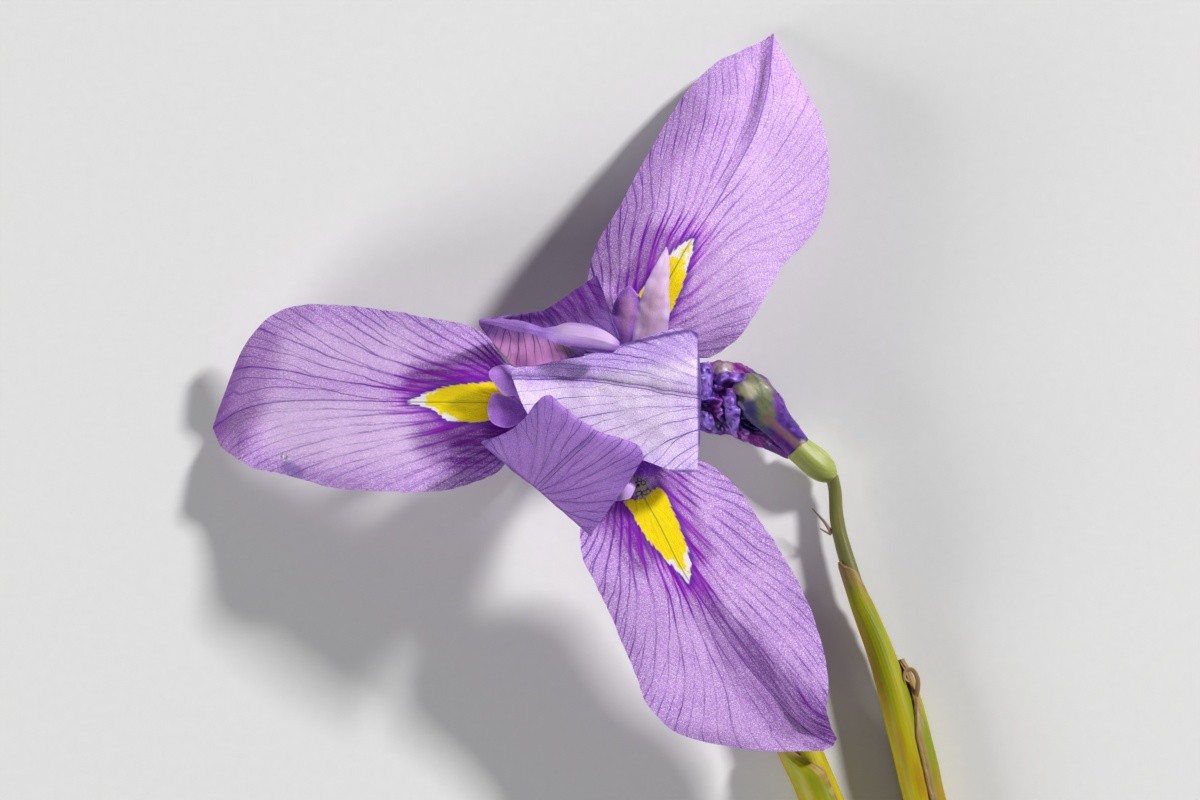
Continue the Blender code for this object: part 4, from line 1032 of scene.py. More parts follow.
# A pedicel is this much thicker towards its sheath, from one share of its length to another.
PEDICEL_SWELL, PEDICEL_SWELLS = 0.25, (0.55, 0.95)
OVARY_RADIUS, OVARY_FOOT_RADIUS = 1.55, 0.8
OPEN_NECK_RADIUS, SPENT_NECK_RADIUS = 1.1, 1.4
OVARY_SWELL_POWER = 0.8
OPEN_OVARY_FOOT, OPEN_OVARY_TOP = (0.0, 0.0, 0.0), (0.0, 0.0, 5.45)
OPEN_PEDICEL = (
    (28.0, -51.6, 2.68),
    (25.6, -46.6, 2.68),
    (22.6, -39.9, 2.68),
    (20.5, -35.1, 2.65),
    (17.6, -28.4, 2.4),
    (13.5, -21.5, 1.8),
    (8.0, -13.3, 1.0),
    (3.2, -6.0, 0.7),
    (0.0, -0.3, 0.7),
)
SPENT_PEDICEL = (
    (34.0, -51.6, 2.68),
    (33.2, -45.0, 2.68),
    (31.9, -39.0, 2.68),
    (30.6, -33.5, 2.68),
    (28.6, -26.6, 2.6),
    (26.2, -20.2, 2.4),
    (24.6, -15.4, 2.2),
    (23.8, -12.0, 2.1),
    (23.6, -9.2, 2.1),
    (23.3, -7.7, 2.3),
)
SPENT_OVARY_FOOT, SPENT_OVARY_TOP = (23.3, -7.7, 2.3), (19.8, -4.8, 2.9)
# Dry wisps of an old bract beside the spent pedicel: (x, y, z, half width, half depth).
WISPS = (
    ((23.3, -13.4, 2.2, 0.2, 0.14), (22.5, -12.2, 2.5, 0.15, 0.1), (21.3, -10.9, 2.8, 0.05, 0.05)),
    ((23.2, -13.5, 2.1, 0.14, 0.1), (22.6, -13.2, 2.4, 0.1, 0.08), (22.1, -12.9, 2.6, 0.04, 0.04)),
)
# The cut stem up to the node where it forks, and its two branches.
STEM_PATH = ((36.0, -74.0, 1.9), (35.0, -68.0, 1.9), (33.6, -62.0, 2.05))
STEM_RADIUS, NODE_RADIUS, BRANCH_RADIUS = 1.9, 2.05, 1.55
OPEN_BRANCH = ((33.6, -62.6, 2.05), (31.4, -58.0, 2.3), (29.6, -54.9, 2.6), (28.3, -52.2, 2.68))
SPENT_BRANCH = ((33.6, -62.6, 2.05), (34.7, -58.0, 2.3), (34.5, -54.9, 2.6), (34.1, -52.2, 2.68))
# The shoot that each pair of bracts wraps: the end of a branch and its pedicel.
OPEN_SHOOT = OPEN_BRANCH[2:3] + OPEN_PEDICEL[1:]
SPENT_SHOOT = SPENT_BRANCH[2:3] + SPENT_PEDICEL[1:-1]
# Radii of the bracts, spaced evenly along them.
OUTER_BRACT_RADII = (2.15, 2.33, 2.38, 2.38, 2.5)
INNER_BRACT_RADII = (1.5, 1.52, 1.52, 1.5, 1.3, 1.0)
SPENT_INNER_RADII = (1.5, 1.52, 1.52, 1.5, 1.24, 1.02, 0.86)
# A bract narrows to its point in two stages: (from this share, to this share, loss of width).
BROAD_POINT = ((0.7, 0.98, 0.72), (0.94, 1.0, 0.22))
SLIM_POINT = ((0.72, 0.94, 0.4), (0.93, 1.0, 0.54))
# Height of a bract's ribs and of its unevenness, and how far its margin lifts here and there.
BRACT_RIBS, BRACT_UNEVEN, BRACT_LIFT = 0.012, 0.05, 0.12
# The turns that each bract reaches round its shoot, in degrees.
OPEN_OUTER_TURNS, OPEN_INNER_TURNS = (-190, 30), (-80, 240)
SPENT_OUTER_TURNS, SPENT_INNER_TURNS = (35, 230), (-220, 100)
# Step along a shoot, as a share of its length, that gives its direction.
NEAR = 0.01

# The dry tip of the outer spent bract curls over: (x, y, z, half width, half depth).
CURL = (
    (31.2, -30.8, 2.6, 0.28, 0.08),
    (31.8, -29.4, 3.0, 0.26, 0.08),
    (31.9, -28.1, 3.2, 0.24, 0.07),
    (31.4, -27.1, 3.2, 0.22, 0.07),
    (30.7, -27.2, 3.3, 0.2, 0.06),
    (30.6, -27.9, 3.4, 0.16, 0.06),
    (31.0, -28.3, 3.4, 0.1, 0.05),
)

# The spent bloom, collapsed into a wet roll: axis points as (x, y, z, half width, half depth).
SPENT_FRONT = (
    (19.9, -4.7, 3.1, 1.3, 1.05),
    (18.7, -3.4, 3.8, 1.45, 1.05),
    (17.5, -2.1, 4.5, 1.65, 1.05),
    (16.4, -0.8, 5.0, 1.95, 1.15),
    (15.5, 0.3, 5.3, 2.1, 1.25),
    (14.6, 1.1, 5.2, 1.75, 1.15),
    (13.7, 1.4, 4.9, 1.0, 0.8),
)
SPENT_LOWER = (
    (19.2, -5.2, 2.4, 0.8, 0.9),
    (17.3, -4.1, 2.5, 1.1, 1.2),
    (15.2, -3.0, 2.5, 1.3, 1.5),
    (13.0, -2.2, 2.5, 1.4, 1.7),
    (11.0, -1.9, 2.5, 1.4, 1.6),
    (9.4, -2.0, 2.5, 0.9, 0.9),
)
SPENT_UPPER = (
    (19.6, -3.0, 3.2, 0.6, 0.8),
    (18.3, -1.5, 3.2, 0.8, 1.0),
    (17.0, 0.3, 3.2, 1.0, 1.3),
    (15.4, 1.8, 3.3, 1.15, 1.5),
    (13.3, 2.6, 3.5, 1.2, 1.7),
    (11.3, 2.8, 3.6, 1.1, 1.6),
    (9.8, 2.7, 3.5, 0.6, 0.9),
)
SPENT_CORE = (
    (16.4, -1.2, 2.8, 0.8, 0.8),
    (14.6, -0.5, 3.1, 1.9, 1.6),
    (12.9, 0.1, 3.4, 2.3, 2.1),
    (11.0, 0.2, 3.6, 2.2, 2.4),
    (9.0, 0.2, 3.3, 1.8, 2.2),
    (7.6, 0.0, 2.8, 0.8, 1.0),
)
# Each collapsed piece: name, node, stations, rings and sides of its grid, depth of its creases.
SPENT_PIECES = (
    ("withered_petal_front", "spent_tepal_front", SPENT_FRONT, (170, 110), 0.06),
    ("withered_petal_upper", "spent_tepal_upper", SPENT_UPPER, (170, 110), 0.34),
    ("withered_petal_lower", "spent_tepal_lower", SPENT_LOWER, (170, 110), 0.3),
    ("withered_core", "spent_core", SPENT_CORE, (200, 140), 0.55),
)
# Shrivelled edges of the inner tepals that stand up from the core: rows of edge, crest and edge.
SPENT_FRILLS = (
    (
        ((12.4, 1.3, 5.4), (13.0, 1.2, 6.0), (13.6, 1.1, 5.4)),
        ((12.6, 0.7, 5.6), (13.2, 0.6, 6.3), (13.8, 0.5, 5.5)),
        ((12.2, -0.3, 5.6), (13.0, -0.4, 6.2), (13.7, -0.5, 5.5)),
        ((12.7, -1.2, 5.3), (13.5, -1.3, 6.0), (14.2, -1.4, 5.2)),
        ((12.7, -2.3, 4.8), (13.4, -2.5, 5.4), (14.0, -2.6, 4.6)),
        ((12.8, -3.2, 4.1), (13.3, -3.4, 4.6), (13.7, -3.4, 4.0)),
    ),
    (
        ((9.8, 3.6, 4.3), (10.4, 3.8, 5.2), (11.0, 3.7, 4.4)),
        ((9.7, 2.4, 5.2), (10.5, 2.5, 6.0), (11.4, 2.6, 5.2)),
        ((9.8, 1.0, 5.4), (10.6, 1.0, 6.2), (11.4, 1.1, 5.4)),
        ((9.9, 0.2, 5.4), (10.5, 0.1, 5.9), (11.2, 0.2, 5.3)),
    ),
    (
        ((11.4, 2.4, 5.2), (11.5, 1.9, 6.0), (11.7, 1.4, 5.4)),
        ((13.0, 2.8, 5.2), (13.0, 2.2, 6.1), (13.2, 1.7, 5.4)),
        ((14.7, 2.6, 5.0), (14.7, 2.1, 5.8), (14.8, 1.7, 5.2)),
    ),
    (
        ((9.4, -0.9, 5.0), (10.2, -1.0, 5.8), (10.9, -1.1, 4.9)),
        ((10.2, -2.1, 4.7), (10.9, -2.2, 5.4), (11.6, -2.3, 4.5)),
        ((11.0, -2.9, 4.0), (11.6, -3.1, 4.6), (12.2, -3.1, 3.9)),
    ),
)
SPENT_FRILL_THICK, SPENT_FRILL_WAVES = 0.1, ((1.5, 1.0), (0.7, 0.5))
# Creases of the collapsed pieces, as (share of their depth, rate), and the level between crest and
# hollow.
SPENT_CREASES, CREASE_LEVEL = ((0.7, 0.7), (0.25, 1.6), (0.05, 3.6)), 0.6
# Stains, painted highlights and painted shade of the collapsed pieces, as (kind, start, end, width,
# strength).
SPENT_STAINS_AND_SHADING = {
    "withered_petal_front": (
        # The cream on the knuckle is the claw's cream skin with a painted highlight on it.
        ("cream", (14.9, 0.9), (14.0, 0.9), 1.3, 0.9),
        ("olive", (15.2, 2.2), (16.3, 1.0), 1.5, 0.75),
        ("olive", (16.3, 1.0), (16.7, -1.6), 1.4, 0.75),
        ("slate", (14.6, -1.2), (16.2, -2.4), 1.9, 0.85),
        # The dark patch in the dent is painted shade.
        ("dent_shade", (13.8, 0.2), (14.1, 0.1), 0.6, 1.0),
        ("rib", (19.8, -4.5), (16.8, -1.9), 0.6, 0.9),
        ("cream", (20.1, -5.3), (20.4, -4.3), 0.5, 0.5),
    ),
    "withered_petal_upper": (
        # This cream patch is a painted highlight on the dome.
        ("cream", (12.7, 3.2), (12.0, 3.2), 0.9, 0.55),
        ("rosy", (10.4, 3.4), (14.2, 3.0), 1.6, 0.55),
    ),
    "withered_petal_lower": (("rosy", (13.0, -3.6), (16.0, -4.2), 1.0, 0.5),),
    "withered_core": (("rosy", (11.4, -1.6), (13.2, 0.6), 1.2, 0.45),),
}
SPENT_MARK_KINDS = ("rosy", "slate", "olive", "cream", "rib", "dent_shade")


def rolled_piece(
    name, stations, rings, sides, relief=None, values=None, marks=(), caps=4, bulges=(0.35, 0.35)
):
    """A closed tube through stations of (x, y, z, half width, half depth): a grid rolled round the
    line. Its caps bulge by a share of the radius, or lie flat for 0. relief(share, turn, place)
    scales the radius, with place a spot of the tube in mm."""
    axis = [along([s[:3] for s in stations], i / rings) for i in range(rings + 1)]
    sizes = [along([(*s[3:], 0) for s in stations], i / rings) for i in range(rings + 1)]
    start = (axis[1] - axis[0]).normalized()
    side = Vector((0, 1, 0)) if start.z > 0.99 else Vector((0, 0, 1)).cross(start)
    grid, blade, shares, reliefs, cuts = [], [], [], [], []
    travelled = 0.0
    for i, centre in enumerate(axis):
        ahead = (axis[min(i + 1, rings)] - axis[max(i - 1, 0)]).normalized()
        side = (side - ahead * side.dot(ahead)).normalized()
        rise = ahead.cross(side)
        travelled += (centre - axis[i - 1]).length if i else 0.0
        rounds = [1.0]
        if i in (0, rings):
            rounds = [math.sin(math.pi / 2 * k / caps) for k in range(caps + 1)]
            rounds = rounds if i == 0 else rounds[::-1]
        for scale in rounds:
            bulge = math.sqrt(max(1 - scale * scale, 0.0)) * min(sizes[i].x, sizes[i].y)
            bulge *= -bulges[0] if i == 0 else bulges[1]
            line = []
            for k in range(sides + 1):
                turn = 2 * math.pi * (k % sides) / sides
                place = Vector((sizes[i].x * math.cos(turn), sizes[i].y * math.sin(turn), travelled))
                grown = relief(i / rings, turn, place) if relief else 1.0
                offset = side * place.x + rise * place.y
                line.append(centre + ahead * bulge + offset * grown * scale)
                around = 2 * math.pi * k / sides * max(sizes[i].x, sizes[i].y)
                blade.append((around, travelled))
                shares.append(i / rings)
                reliefs.append(grown)
                cuts.append(1.3 - scale if i == 0 and scale < 1 else 0.0)
            grid.append(line)
    extra = {"share": shares, "relief": reliefs, "cut": cuts}
    extra.update({value_name: [number] * len(shares) for value_name, number in (values or {}).items()})
    if marks:
        extra.update(mark_values(grid, marks, SPENT_MARK_KINDS))
    piece = grid_piece(name, grid, {"blade": blade}, extra)
    merge_doubles()
    return piece


def merge_doubles():
    """Closes the seams of the active piece."""
    bpy.ops.object.mode_set(mode="EDIT")
    bpy.ops.mesh.select_all(action="SELECT")
    bpy.ops.mesh.remove_doubles(threshold=0.000002)
    bpy.ops.object.mode_set(mode="OBJECT")


def join(name, parts):
    """Makes one piece of several."""
    deselect()
    for part in parts:
        part.select_set(True)
    bpy.context.view_layer.objects.active = parts[0]
    bpy.ops.object.join()
    parts[0].name = parts[0].data.name = name
    return parts[0]


def flap(name, rows, thick, waver, values):
    """A thin flap, arched across its middle. waver is the scale in mm and height of its waves."""
    count, columns = FLAP_GRID
    length = sum((Vector(b[1]) - Vector(a[1])).length for a, b in zip(rows, rows[1:]))
    grid, blade, rims = [], [], []
    for i in range(count + 1):
        share = i / count
        left, middle, right = (along([row[k] for row in rows], share) for k in range(3))
        half = (left - right).length / 2
        line = []
        for j in range(columns + 1):
            t = 2 * j / columns - 1
            near, far = (left, right) if t < 0 else (right, left)
            point = middle + (near - far) * abs(t) / 2 + ((near + far) / 2 - middle) * t * t
            for size, height in waver:
                wave = noise.noise_vector(point / size) * height
                point += Vector((wave.x * 0.4, wave.y * 0.4, wave.z)) * (0.4 + 0.6 * abs(t))
            line.append(point)
            blade.append((t * half, share * length))
            rims.append(min((1 - abs(t)) * half, (1 - share) * length))
        grid.append(line)
    spots = [point for line in grid for point in line]
    extra = {
        value_name: [rule(spot) if callable(rule) else rule for spot in spots]
        for value_name, rule in values.items()
    }
    piece = grid_piece(name, grid, {"blade": blade}, {**extra, "rim": rims})
    apply_modifier(piece, "SOLIDIFY", thickness=thick * MM, offset=0)
    return piece


def build_style(material):
    """The column, its three branches and their six crests."""
    column = [(0, 0, z, STYLE_RADIUS, STYLE_RADIUS) for z in (STYLE_FOOT_Z, STYLE_TOP_Z)]
    parts = [rolled_piece("style_crests", column, 12, 24, values={"tone": 0.5, "glow": 0.0, "rim": 1.0})]
    for angle in (LEFT_CLAW, UPPER_CLAW, LOWER_CLAW):
        rows = claw_rows(STYLE_BRANCH, angle)
        parts.append(flap("branch", rows, STYLE_THICK, (), {"tone": 0.4, "glow": 0.0}))
    for name, rows in CRESTS.items():
        tone, glow = CREST_TONES[name]
        parts.append(flap(name, rows, STYLE_THICK, CREST_WAVES, {"tone": tone, "glow": glow}))
    return finish_piece(join("style_crests", parts), "style", material, "style")


def build_stamens(material):
    """The sleeve of joined filaments, with a furrowed anther for each branch of the style."""
    turns = [2 * math.pi * k / 36 for k in range(37)]
    rings = (
        (SLEEVE_INNER, STYLE_FOOT_Z),
        (SLEEVE_OUTER, STYLE_FOOT_Z),
        (SLEEVE_OUTER, (STYLE_FOOT_Z + SLEEVE_TOP_Z) / 2),
        (SLEEVE_OUTER, SLEEVE_TOP_Z),
        (SLEEVE_INNER, SLEEVE_TOP_Z),
        (SLEEVE_INNER, STYLE_FOOT_Z),
    )
    grid = [[Vector((r * math.cos(a), r * math.sin(a), z)) for a in turns] for r, z in rings]
    blade = [(a, z) for r, z in rings for a in turns]
    parts = [grid_piece("stamens", grid, {"blade": blade}, {"share": [0.0] * len(blade)})]
    merge_doubles()
    for angle in (LEFT_CLAW, UPPER_CLAW, LOWER_CLAW):
        out = Vector((math.cos(math.radians(angle)), math.sin(math.radians(angle)), 0))
        stations = [(*(out * r).xy, z, width, depth) for r, z, width, depth in ANTHER]
        parts.append(rolled_piece("anther", stations, 50, 30, anther_relief))
    return finish_piece(join("stamens", parts), "stamen", material, "stamens")


def anther_relief(share, turn, place):
    """An anther's two pollen sacs part along its middle."""
    sacs = between(0.5, 0.62, share)
    return 1 - ANTHER_FURROW * sacs * math.exp(-((math.sin(turn) - 1) ** 2) / 0.02)


def club_stations(foot, top, neck_radius, count=9):
    """An ovary, as a club between two places."""
    stations = []
    for i in range(count + 1):
        share = i / count
        straight = OVARY_FOOT_RADIUS + (neck_radius - OVARY_FOOT_RADIUS) * share
        swell = math.sin(math.pi * share) ** OVARY_SWELL_POWER
        radius = straight + (OVARY_RADIUS - straight) * swell
        stations.append((*Vector(foot).lerp(Vector(top), share), radius, radius))
    return stations


def ovary_relief(share, turn, place):
    """Three chambers, each with a shallow seam between it and the next."""
    seam = math.exp(-((math.cos(3 * turn) - 1) ** 2) / 0.08) * math.sin(math.pi * share)
    return 1 - OVARY_SEAM * seam - 0.01 * math.cos(6 * turn)


def stalk_relief(share, turn, place):
    """A pedicel: five faint angles and an uneven skin."""
    return 1 + 0.03 * math.cos(5 * turn + 3 * share) + 0.05 * noise.noise(place / 1.6)


def build_ovary(name, foot, top, neck_radius, foot_bulge, pedicel, material, node):
    """An ovary on its pedicel and, beside the spent one, two dry wisps of an old bract."""
    stations = club_stations(foot, top, neck_radius)
    values = {"club": 1.0, "dry": 0.0}
    parts = [rolled_piece(name, stations, 60, 48, ovary_relief, values, bulges=(foot_bulge, 0.35))]
    thin = []
    for i, place in enumerate(pedicel):
        slimmed = PEDICEL_SWELL * between(*PEDICEL_SWELLS, i / (len(pedicel) - 1))
        radius = PEDICEL_RADIUS * (1 + PEDICEL_SWELL - slimmed)
        thin.append((*place, radius, radius))
    parts.append(rolled_piece("stalk", thin, 200, 24, stalk_relief, {"club": 0.0, "dry": 0.0}))
    if node == "ovary_spent":
        for wisp in WISPS:
            parts.append(rolled_piece("wisp", wisp, 30, 10, None, {"club": 0.0, "dry": 1.0}))
    return finish_piece(join(name, parts), "ovary", material, node)


def build_stem(material):
    """The cut stem, its swollen node and its two branches."""
    stations = [(*along(STEM_PATH, i / 6), STEM_RADIUS, STEM_RADIUS) for i in range(6)]
    stations.append((*STEM_PATH[-1], NODE_RADIUS, NODE_RADIUS))
    parts = [rolled_piece("cut_stem", stations, 60, 56, stem_relief, caps=16, bulges=(0.0, 0.35))]
    for path in (OPEN_BRANCH, SPENT_BRANCH):
        thin = [(*p, BRANCH_RADIUS, BRANCH_RADIUS) for p in path]
        parts.append(rolled_piece("branch", thin, 40, 40, stem_relief, bulges=(0.35, 0.35)))
    return finish_piece(join("cut_stem", parts), "stem", material, "stem")


def stem_relief(share, turn, place):
    """Fine lengthwise ribs."""
    return 1 + 0.012 * math.cos(14 * turn) + 0.012 * noise.noise(place / 2.5)


def build_bract(name, path, ends, radii, turns, point, dry_margin, hug, material, node, curl=None):
    """A bract wrapped round a shoot, from one share of its length to another. Its margin is dry
    over dry_margin mm, and closes in on the shoot by hug mm."""
    rows, columns = BRACT_GRID
    walls = [(radius, 0, 0) for radius in radii]
    middle, half = (turns[0] + turns[1]) / 2, (turns[1] - turns[0]) / 2
    length = sum((Vector(b) - Vector(a)).length for a, b in zip(path, path[1:])) * (ends[1] - ends[0])
    grid, blade, shares, edges = [], [], [], []
    for i in range(rows + 1):
        share = i / rows
        at = ends[0] + (ends[1] - ends[0]) * share
        centre = along(path, at)
        ahead = (along(path, at + NEAR) - along(path, at - NEAR)).normalized()
        side = ahead.cross(Vector((0, 0, 1))).normalized()
        rise = side.cross(ahead)
        radius = along(walls, share).x
        narrow = 1 - sum(loss * between(low, high, share) for low, high, loss in point)
        line = []
        for j in range(columns + 1):
            t = 2 * j / columns - 1
            turn = math.radians(middle + half * narrow * t)
            ribs = BRACT_RIBS * math.cos(t * half * 0.45)
            ribs += BRACT_UNEVEN * noise.noise(Vector((share * 9, t * 2, radius)))
            lifted = noise.noise(Vector((share * 22, t, turns[0]))) * between(0.8, 1, abs(t))
            reach = radius + ribs + BRACT_LIFT * lifted - hug * between(0.55, 1.0, abs(t))
            line.append(centre + reach * (rise * math.cos(turn) + side * math.sin(turn)))
            blade.append((math.radians(half * narrow * t) * radius, share * length))
            shares.append(share)
            edges.append((1 - abs(t)) * math.radians(half * narrow) * radius / dry_margin)
        grid.append(line)
    piece = grid_piece(name, grid, {"blade": blade}, {"share": shares, "edge": edges})
    apply_modifier(piece, "SOLIDIFY", thickness=BRACT_THICK * MM, offset=0)
    if curl:
        piece = join(name, [piece, rolled_piece("curl", curl, 80, 14)])
    return finish_piece(piece, "bract", material, node)


def ridged(place):
    """Noise from 0 to 1 with sharp crests, like creased tissue."""
    return 1 - min(abs(noise.noise(place)) * 2.6, 1.0)


def crumple(seed, depth):
    """Creased tissue: sharp folds on three scales, drawn out along the roll."""

    def relief(share, turn, place):
        spot = Vector((place.x, place.y, place.z * 0.65 + seed))
        spot += 0.6 * noise.noise_vector(spot * 0.6)
        folds = sum(part * ridged(spot * rate) for part, rate in SPENT_CREASES) - CREASE_LEVEL
        return 1 + depth * folds * math.sin(math.pi * min(max(share, 0.03), 0.97)) ** 0.3

    return relief


def frill_relief(place):
    """How far a spot of a frill stands out, for its painted highlight and shade."""
    return 0.86 + 0.34 * ridged(place * 0.8)


def build_spent(material):
    """The spent bloom: three collapsed outer tepals round a creased core with shrivelled frills."""
    for seed, (name, node, stations, (rings, sides), depth) in enumerate(SPENT_PIECES):
        relief = crumple(seed * 13.3, depth)
        values = {"creased": 0.0 if name == "withered_petal_front" else 1.0, "frill": 0.0}
        piece = rolled_piece(name, stations, rings, sides, relief, values, SPENT_STAINS_AND_SHADING[name])
        if name == "withered_core":
            parts = [piece]
            for rows in SPENT_FRILLS:
                values = {"relief": frill_relief, "creased": 1.0, "frill": 0.4}
                values.update(dict.fromkeys(SPENT_MARK_KINDS, 0.0))
                parts.append(flap("frill", rows, SPENT_FRILL_THICK, SPENT_FRILL_WAVES, values))
            piece = join(name, parts)
        finish_piece(piece, "spent", material, node)


def style_skin():
    """Style tissue: as thin as the petals and smoother, pale at its rims and, on the two upper
    crests, flushed tan-pink within."""
    made, t = new_material("style crest skin")
    spot = add(t, "TexCoord").outputs["Object"]
    tone = add(t, "Attribute", attribute_name="tone").outputs["Fac"]
    glow = add(t, "Attribute", attribute_name="glow").outputs["Fac"]
    rim = add(t, "Attribute", attribute_name="rim").outputs["Fac"]
    ground = add(t, "Mix", (tone, linear("#B455EA"), linear("#FAE0FF")), data_type="RGBA")
    # Clouds of deeper mauve 2.4 mm wide.
    clouds = patches(t, spot, 420.0, 4.0, (0.45, 0.7, 0.0, 0.35))
    dense = add(t, "Math", (tone, -0.8, 1.0), operation="MULTIPLY_ADD")
    clouds = add(t, "Math", (clouds, dense), operation="MULTIPLY")
    ground = add(t, "Mix", (clouds, ground, linear("#9444D2")), data_type="RGBA")
    within = add(t, "MapRange", (rim, 0.25, 1.1, 0.0, 1.0), interpolation_type="SMOOTHSTEP")
    glow = add(t, "Math", (glow, within), operation="MULTIPLY")
    ground = add(t, "Mix", (glow, ground, linear("#EBB4D0")), data_type="RGBA")
    # Faint lines 0.4 mm wide run along the crests.
    lines = patches(t, add(t, "UVMap", uv_map="blade"), (2.6, 0.364), 3.0, (0.56, 0.62, 0.0, 0.1))
    ground = add(t, "Mix", (lines, ground, linear("#6B3AA0")), data_type="RGBA")
    # The rim is paler over its outer third of a millimetre.
    pale = add(t, "MapRange", (rim, 0.02, 0.3, 0.5, 0.0), interpolation_type="SMOOTHSTEP")
    ground = add(t, "Mix", (pale, ground, linear("#D8B4FA")), data_type="RGBA")
    # Cells 0.11 mm wide, each with a painted glint.
    cells = add(t, "TexNoise", {"Vector": spot, "Scale": 9000.0, "Detail": 1.0})
    specks = add(t, "MapRange", (cells, 0.56, 0.76, 0.0, 0.6))
    ground = add(t, "Mix", (specks, ground, linear("#F0E2FF")), data_type="RGBA")
    bump = add(t, "Bump", {"Height": cells, "Strength": 0.35, "Distance": 0.00005})
    sockets = {"Roughness": 0.4, "IOR": 1.4, "Specular IOR Level": 0.35}
    return finish_skin(made, ground, bump, sockets, thin=0.3)


def pollen_skin():
    """Anther wall dusted with pollen: matt, cream and grainy."""
    made, t = new_material("pollen-dusted anther")
    spot = add(t, "TexCoord").outputs["Object"]
    share = add(t, "Attribute", attribute_name="share").outputs["Fac"]
    # Grains are drawn 0.11 mm wide, coarser than real ones, which would not show.
    grains = add(t, "TexVoronoi", {"Vector": spot, "Scale": 9000.0}).outputs["Distance"]
    dust = add(t, "Mix", (grains, linear("#F3E9C9"), linear("#B7A4B8")), data_type="RGBA")
    sac = add(t, "MapRange", (share, 0.45, 0.6, 0.0, 1.0), interpolation_type="SMOOTHSTEP")
    tone = add(t, "Mix", (sac, linear("#CDBBE2"), dust), data_type="RGBA")
    bump = add(t, "Bump", {"Height": grains, "Strength": 0.6, "Distance": 0.00006})
    return finish_skin(made, tone, bump, {"Roughness": 0.75, "IOR": 1.4})


def ovary_skin():
    """Waxy skin of an ovary and its pedicel: pale yellow-green ovary, olive pedicel, and a wisp of
    dry brown bract."""
    made, t = new_material("waxy ovary skin")
    spot = add(t, "TexCoord").outputs["Object"]
    club = add(t, "Attribute", attribute_name="club").outputs["Fac"]
    dry = add(t, "Attribute", attribute_name="dry").outputs["Fac"]
    share = add(t, "Attribute", attribute_name="share").outputs["Fac"]
    # Stripes 0.6 mm wide and 8 mm long.
    stripes = patches(t, add(t, "UVMap", uv_map="blade"), (1.6, 0.12), 3.0, (0.35, 0.68, 0.0, 1.0))
    green = add(t, "Mix", (stripes, linear("#9CA554"), linear("#7E8738")), data_type="RGBA")
    olive = add(t, "Mix", (stripes, linear("#70702E"), linear("#5A5A26")), data_type="RGBA")
    tone = add(t, "Mix", (club, olive, green), data_type="RGBA")
    # Pale pores, a quarter of a millimetre apart.
    pores = add(t, "TexVoronoi", {"Vector": spot, "Scale": 4200.0})
    pores = add(t, "MapRange", (pores.outputs["Distance"], 0.1, 0.35, 0.15, 0.0))
    pores = add(t, "Math", (pores, club), operation="MULTIPLY")
    tone = add(t, "Mix", (pores, tone, linear("#E2E7B0")), data_type="RGBA")
    brown = add(t, "Mix", (share, linear("#A08868"), linear("#302018")), data_type="RGBA")
    tone = add(t, "Mix", (dry, tone, brown), data_type="RGBA")
    fine = add(t, "TexNoise", {"Vector": spot, "Scale": 4200.0, "Detail": 2.0})
    bump = add(t, "Bump", {"Height": fine, "Strength": 0.3, "Distance": 0.00004})
    sockets = {"Roughness": 0.5, "IOR": 1.42, "Coat Weight": 0.1, "Coat Roughness": 0.4}
    sockets.update({"Subsurface Weight": 0.08, "Subsurface Scale": 0.0008})
    sockets["Subsurface Radius"] = (0.6, 0.8, 0.3)
    return finish_skin(made, tone, bump, sockets)


def stem_skin():
    """Herbaceous stem: satin green with fine lengthwise ribs. Its cut shows a green ring of bundles
    round a pale, wet pith."""
    made, t = new_material("satin green stem")
    spot = add(t, "TexCoord").outputs["Object"]
    cut = add(t, "Attribute", attribute_name="cut").outputs["Fac"]
    # Ribs 0.4 mm wide and 10 mm long.
    ribs = patches(t, add(t, "UVMap", uv_map="blade"), (2.6, 0.1), 4.0, (0.35, 0.68, 0.0, 1.0))
    tone = add(t, "Mix", (ribs, linear("#8C9A2E"), linear("#6C7F22")), data_type="RGBA")
    # Bundles 0.45 mm apart.
    bundles = add(t, "TexVoronoi", {"Vector": spot, "Scale": 2200.0})
    bundles = add(t, "MapRange", (bundles.outputs["Distance"], 0.15, 0.4, 1.0, 0.0))
    pith = add(t, "Mix", (bundles, linear("#D9DDA6"), linear("#9AA84C")), data_type="RGBA")
    ring = add(t, "MapRange", (cut, 0.42, 0.5, 0.0, 1.0), interpolation_type="SMOOTHSTEP")
    face = add(t, "Mix", (ring, linear("#7E9436"), pith), data_type="RGBA")
    shown = add(t, "MapRange", (cut, 0.1, 0.25, 0.0, 1.0))
    tone = add(t, "Mix", (shown, tone, face), data_type="RGBA")
    fine = add(t, "TexNoise", {"Vector": spot, "Scale": 3800.0, "Detail": 2.0})
    height = add(t, "Math", (ribs, 0.6, fine), operation="MULTIPLY_ADD")
    bump = add(t, "Bump", {"Height": height, "Strength": 0.4, "Distance": 0.00006})
    sockets = {"Roughness": 0.42, "IOR": 1.42, "Coat Weight": 0.12, "Coat Roughness": 0.3}
    return finish_skin(made, tone, bump, sockets)


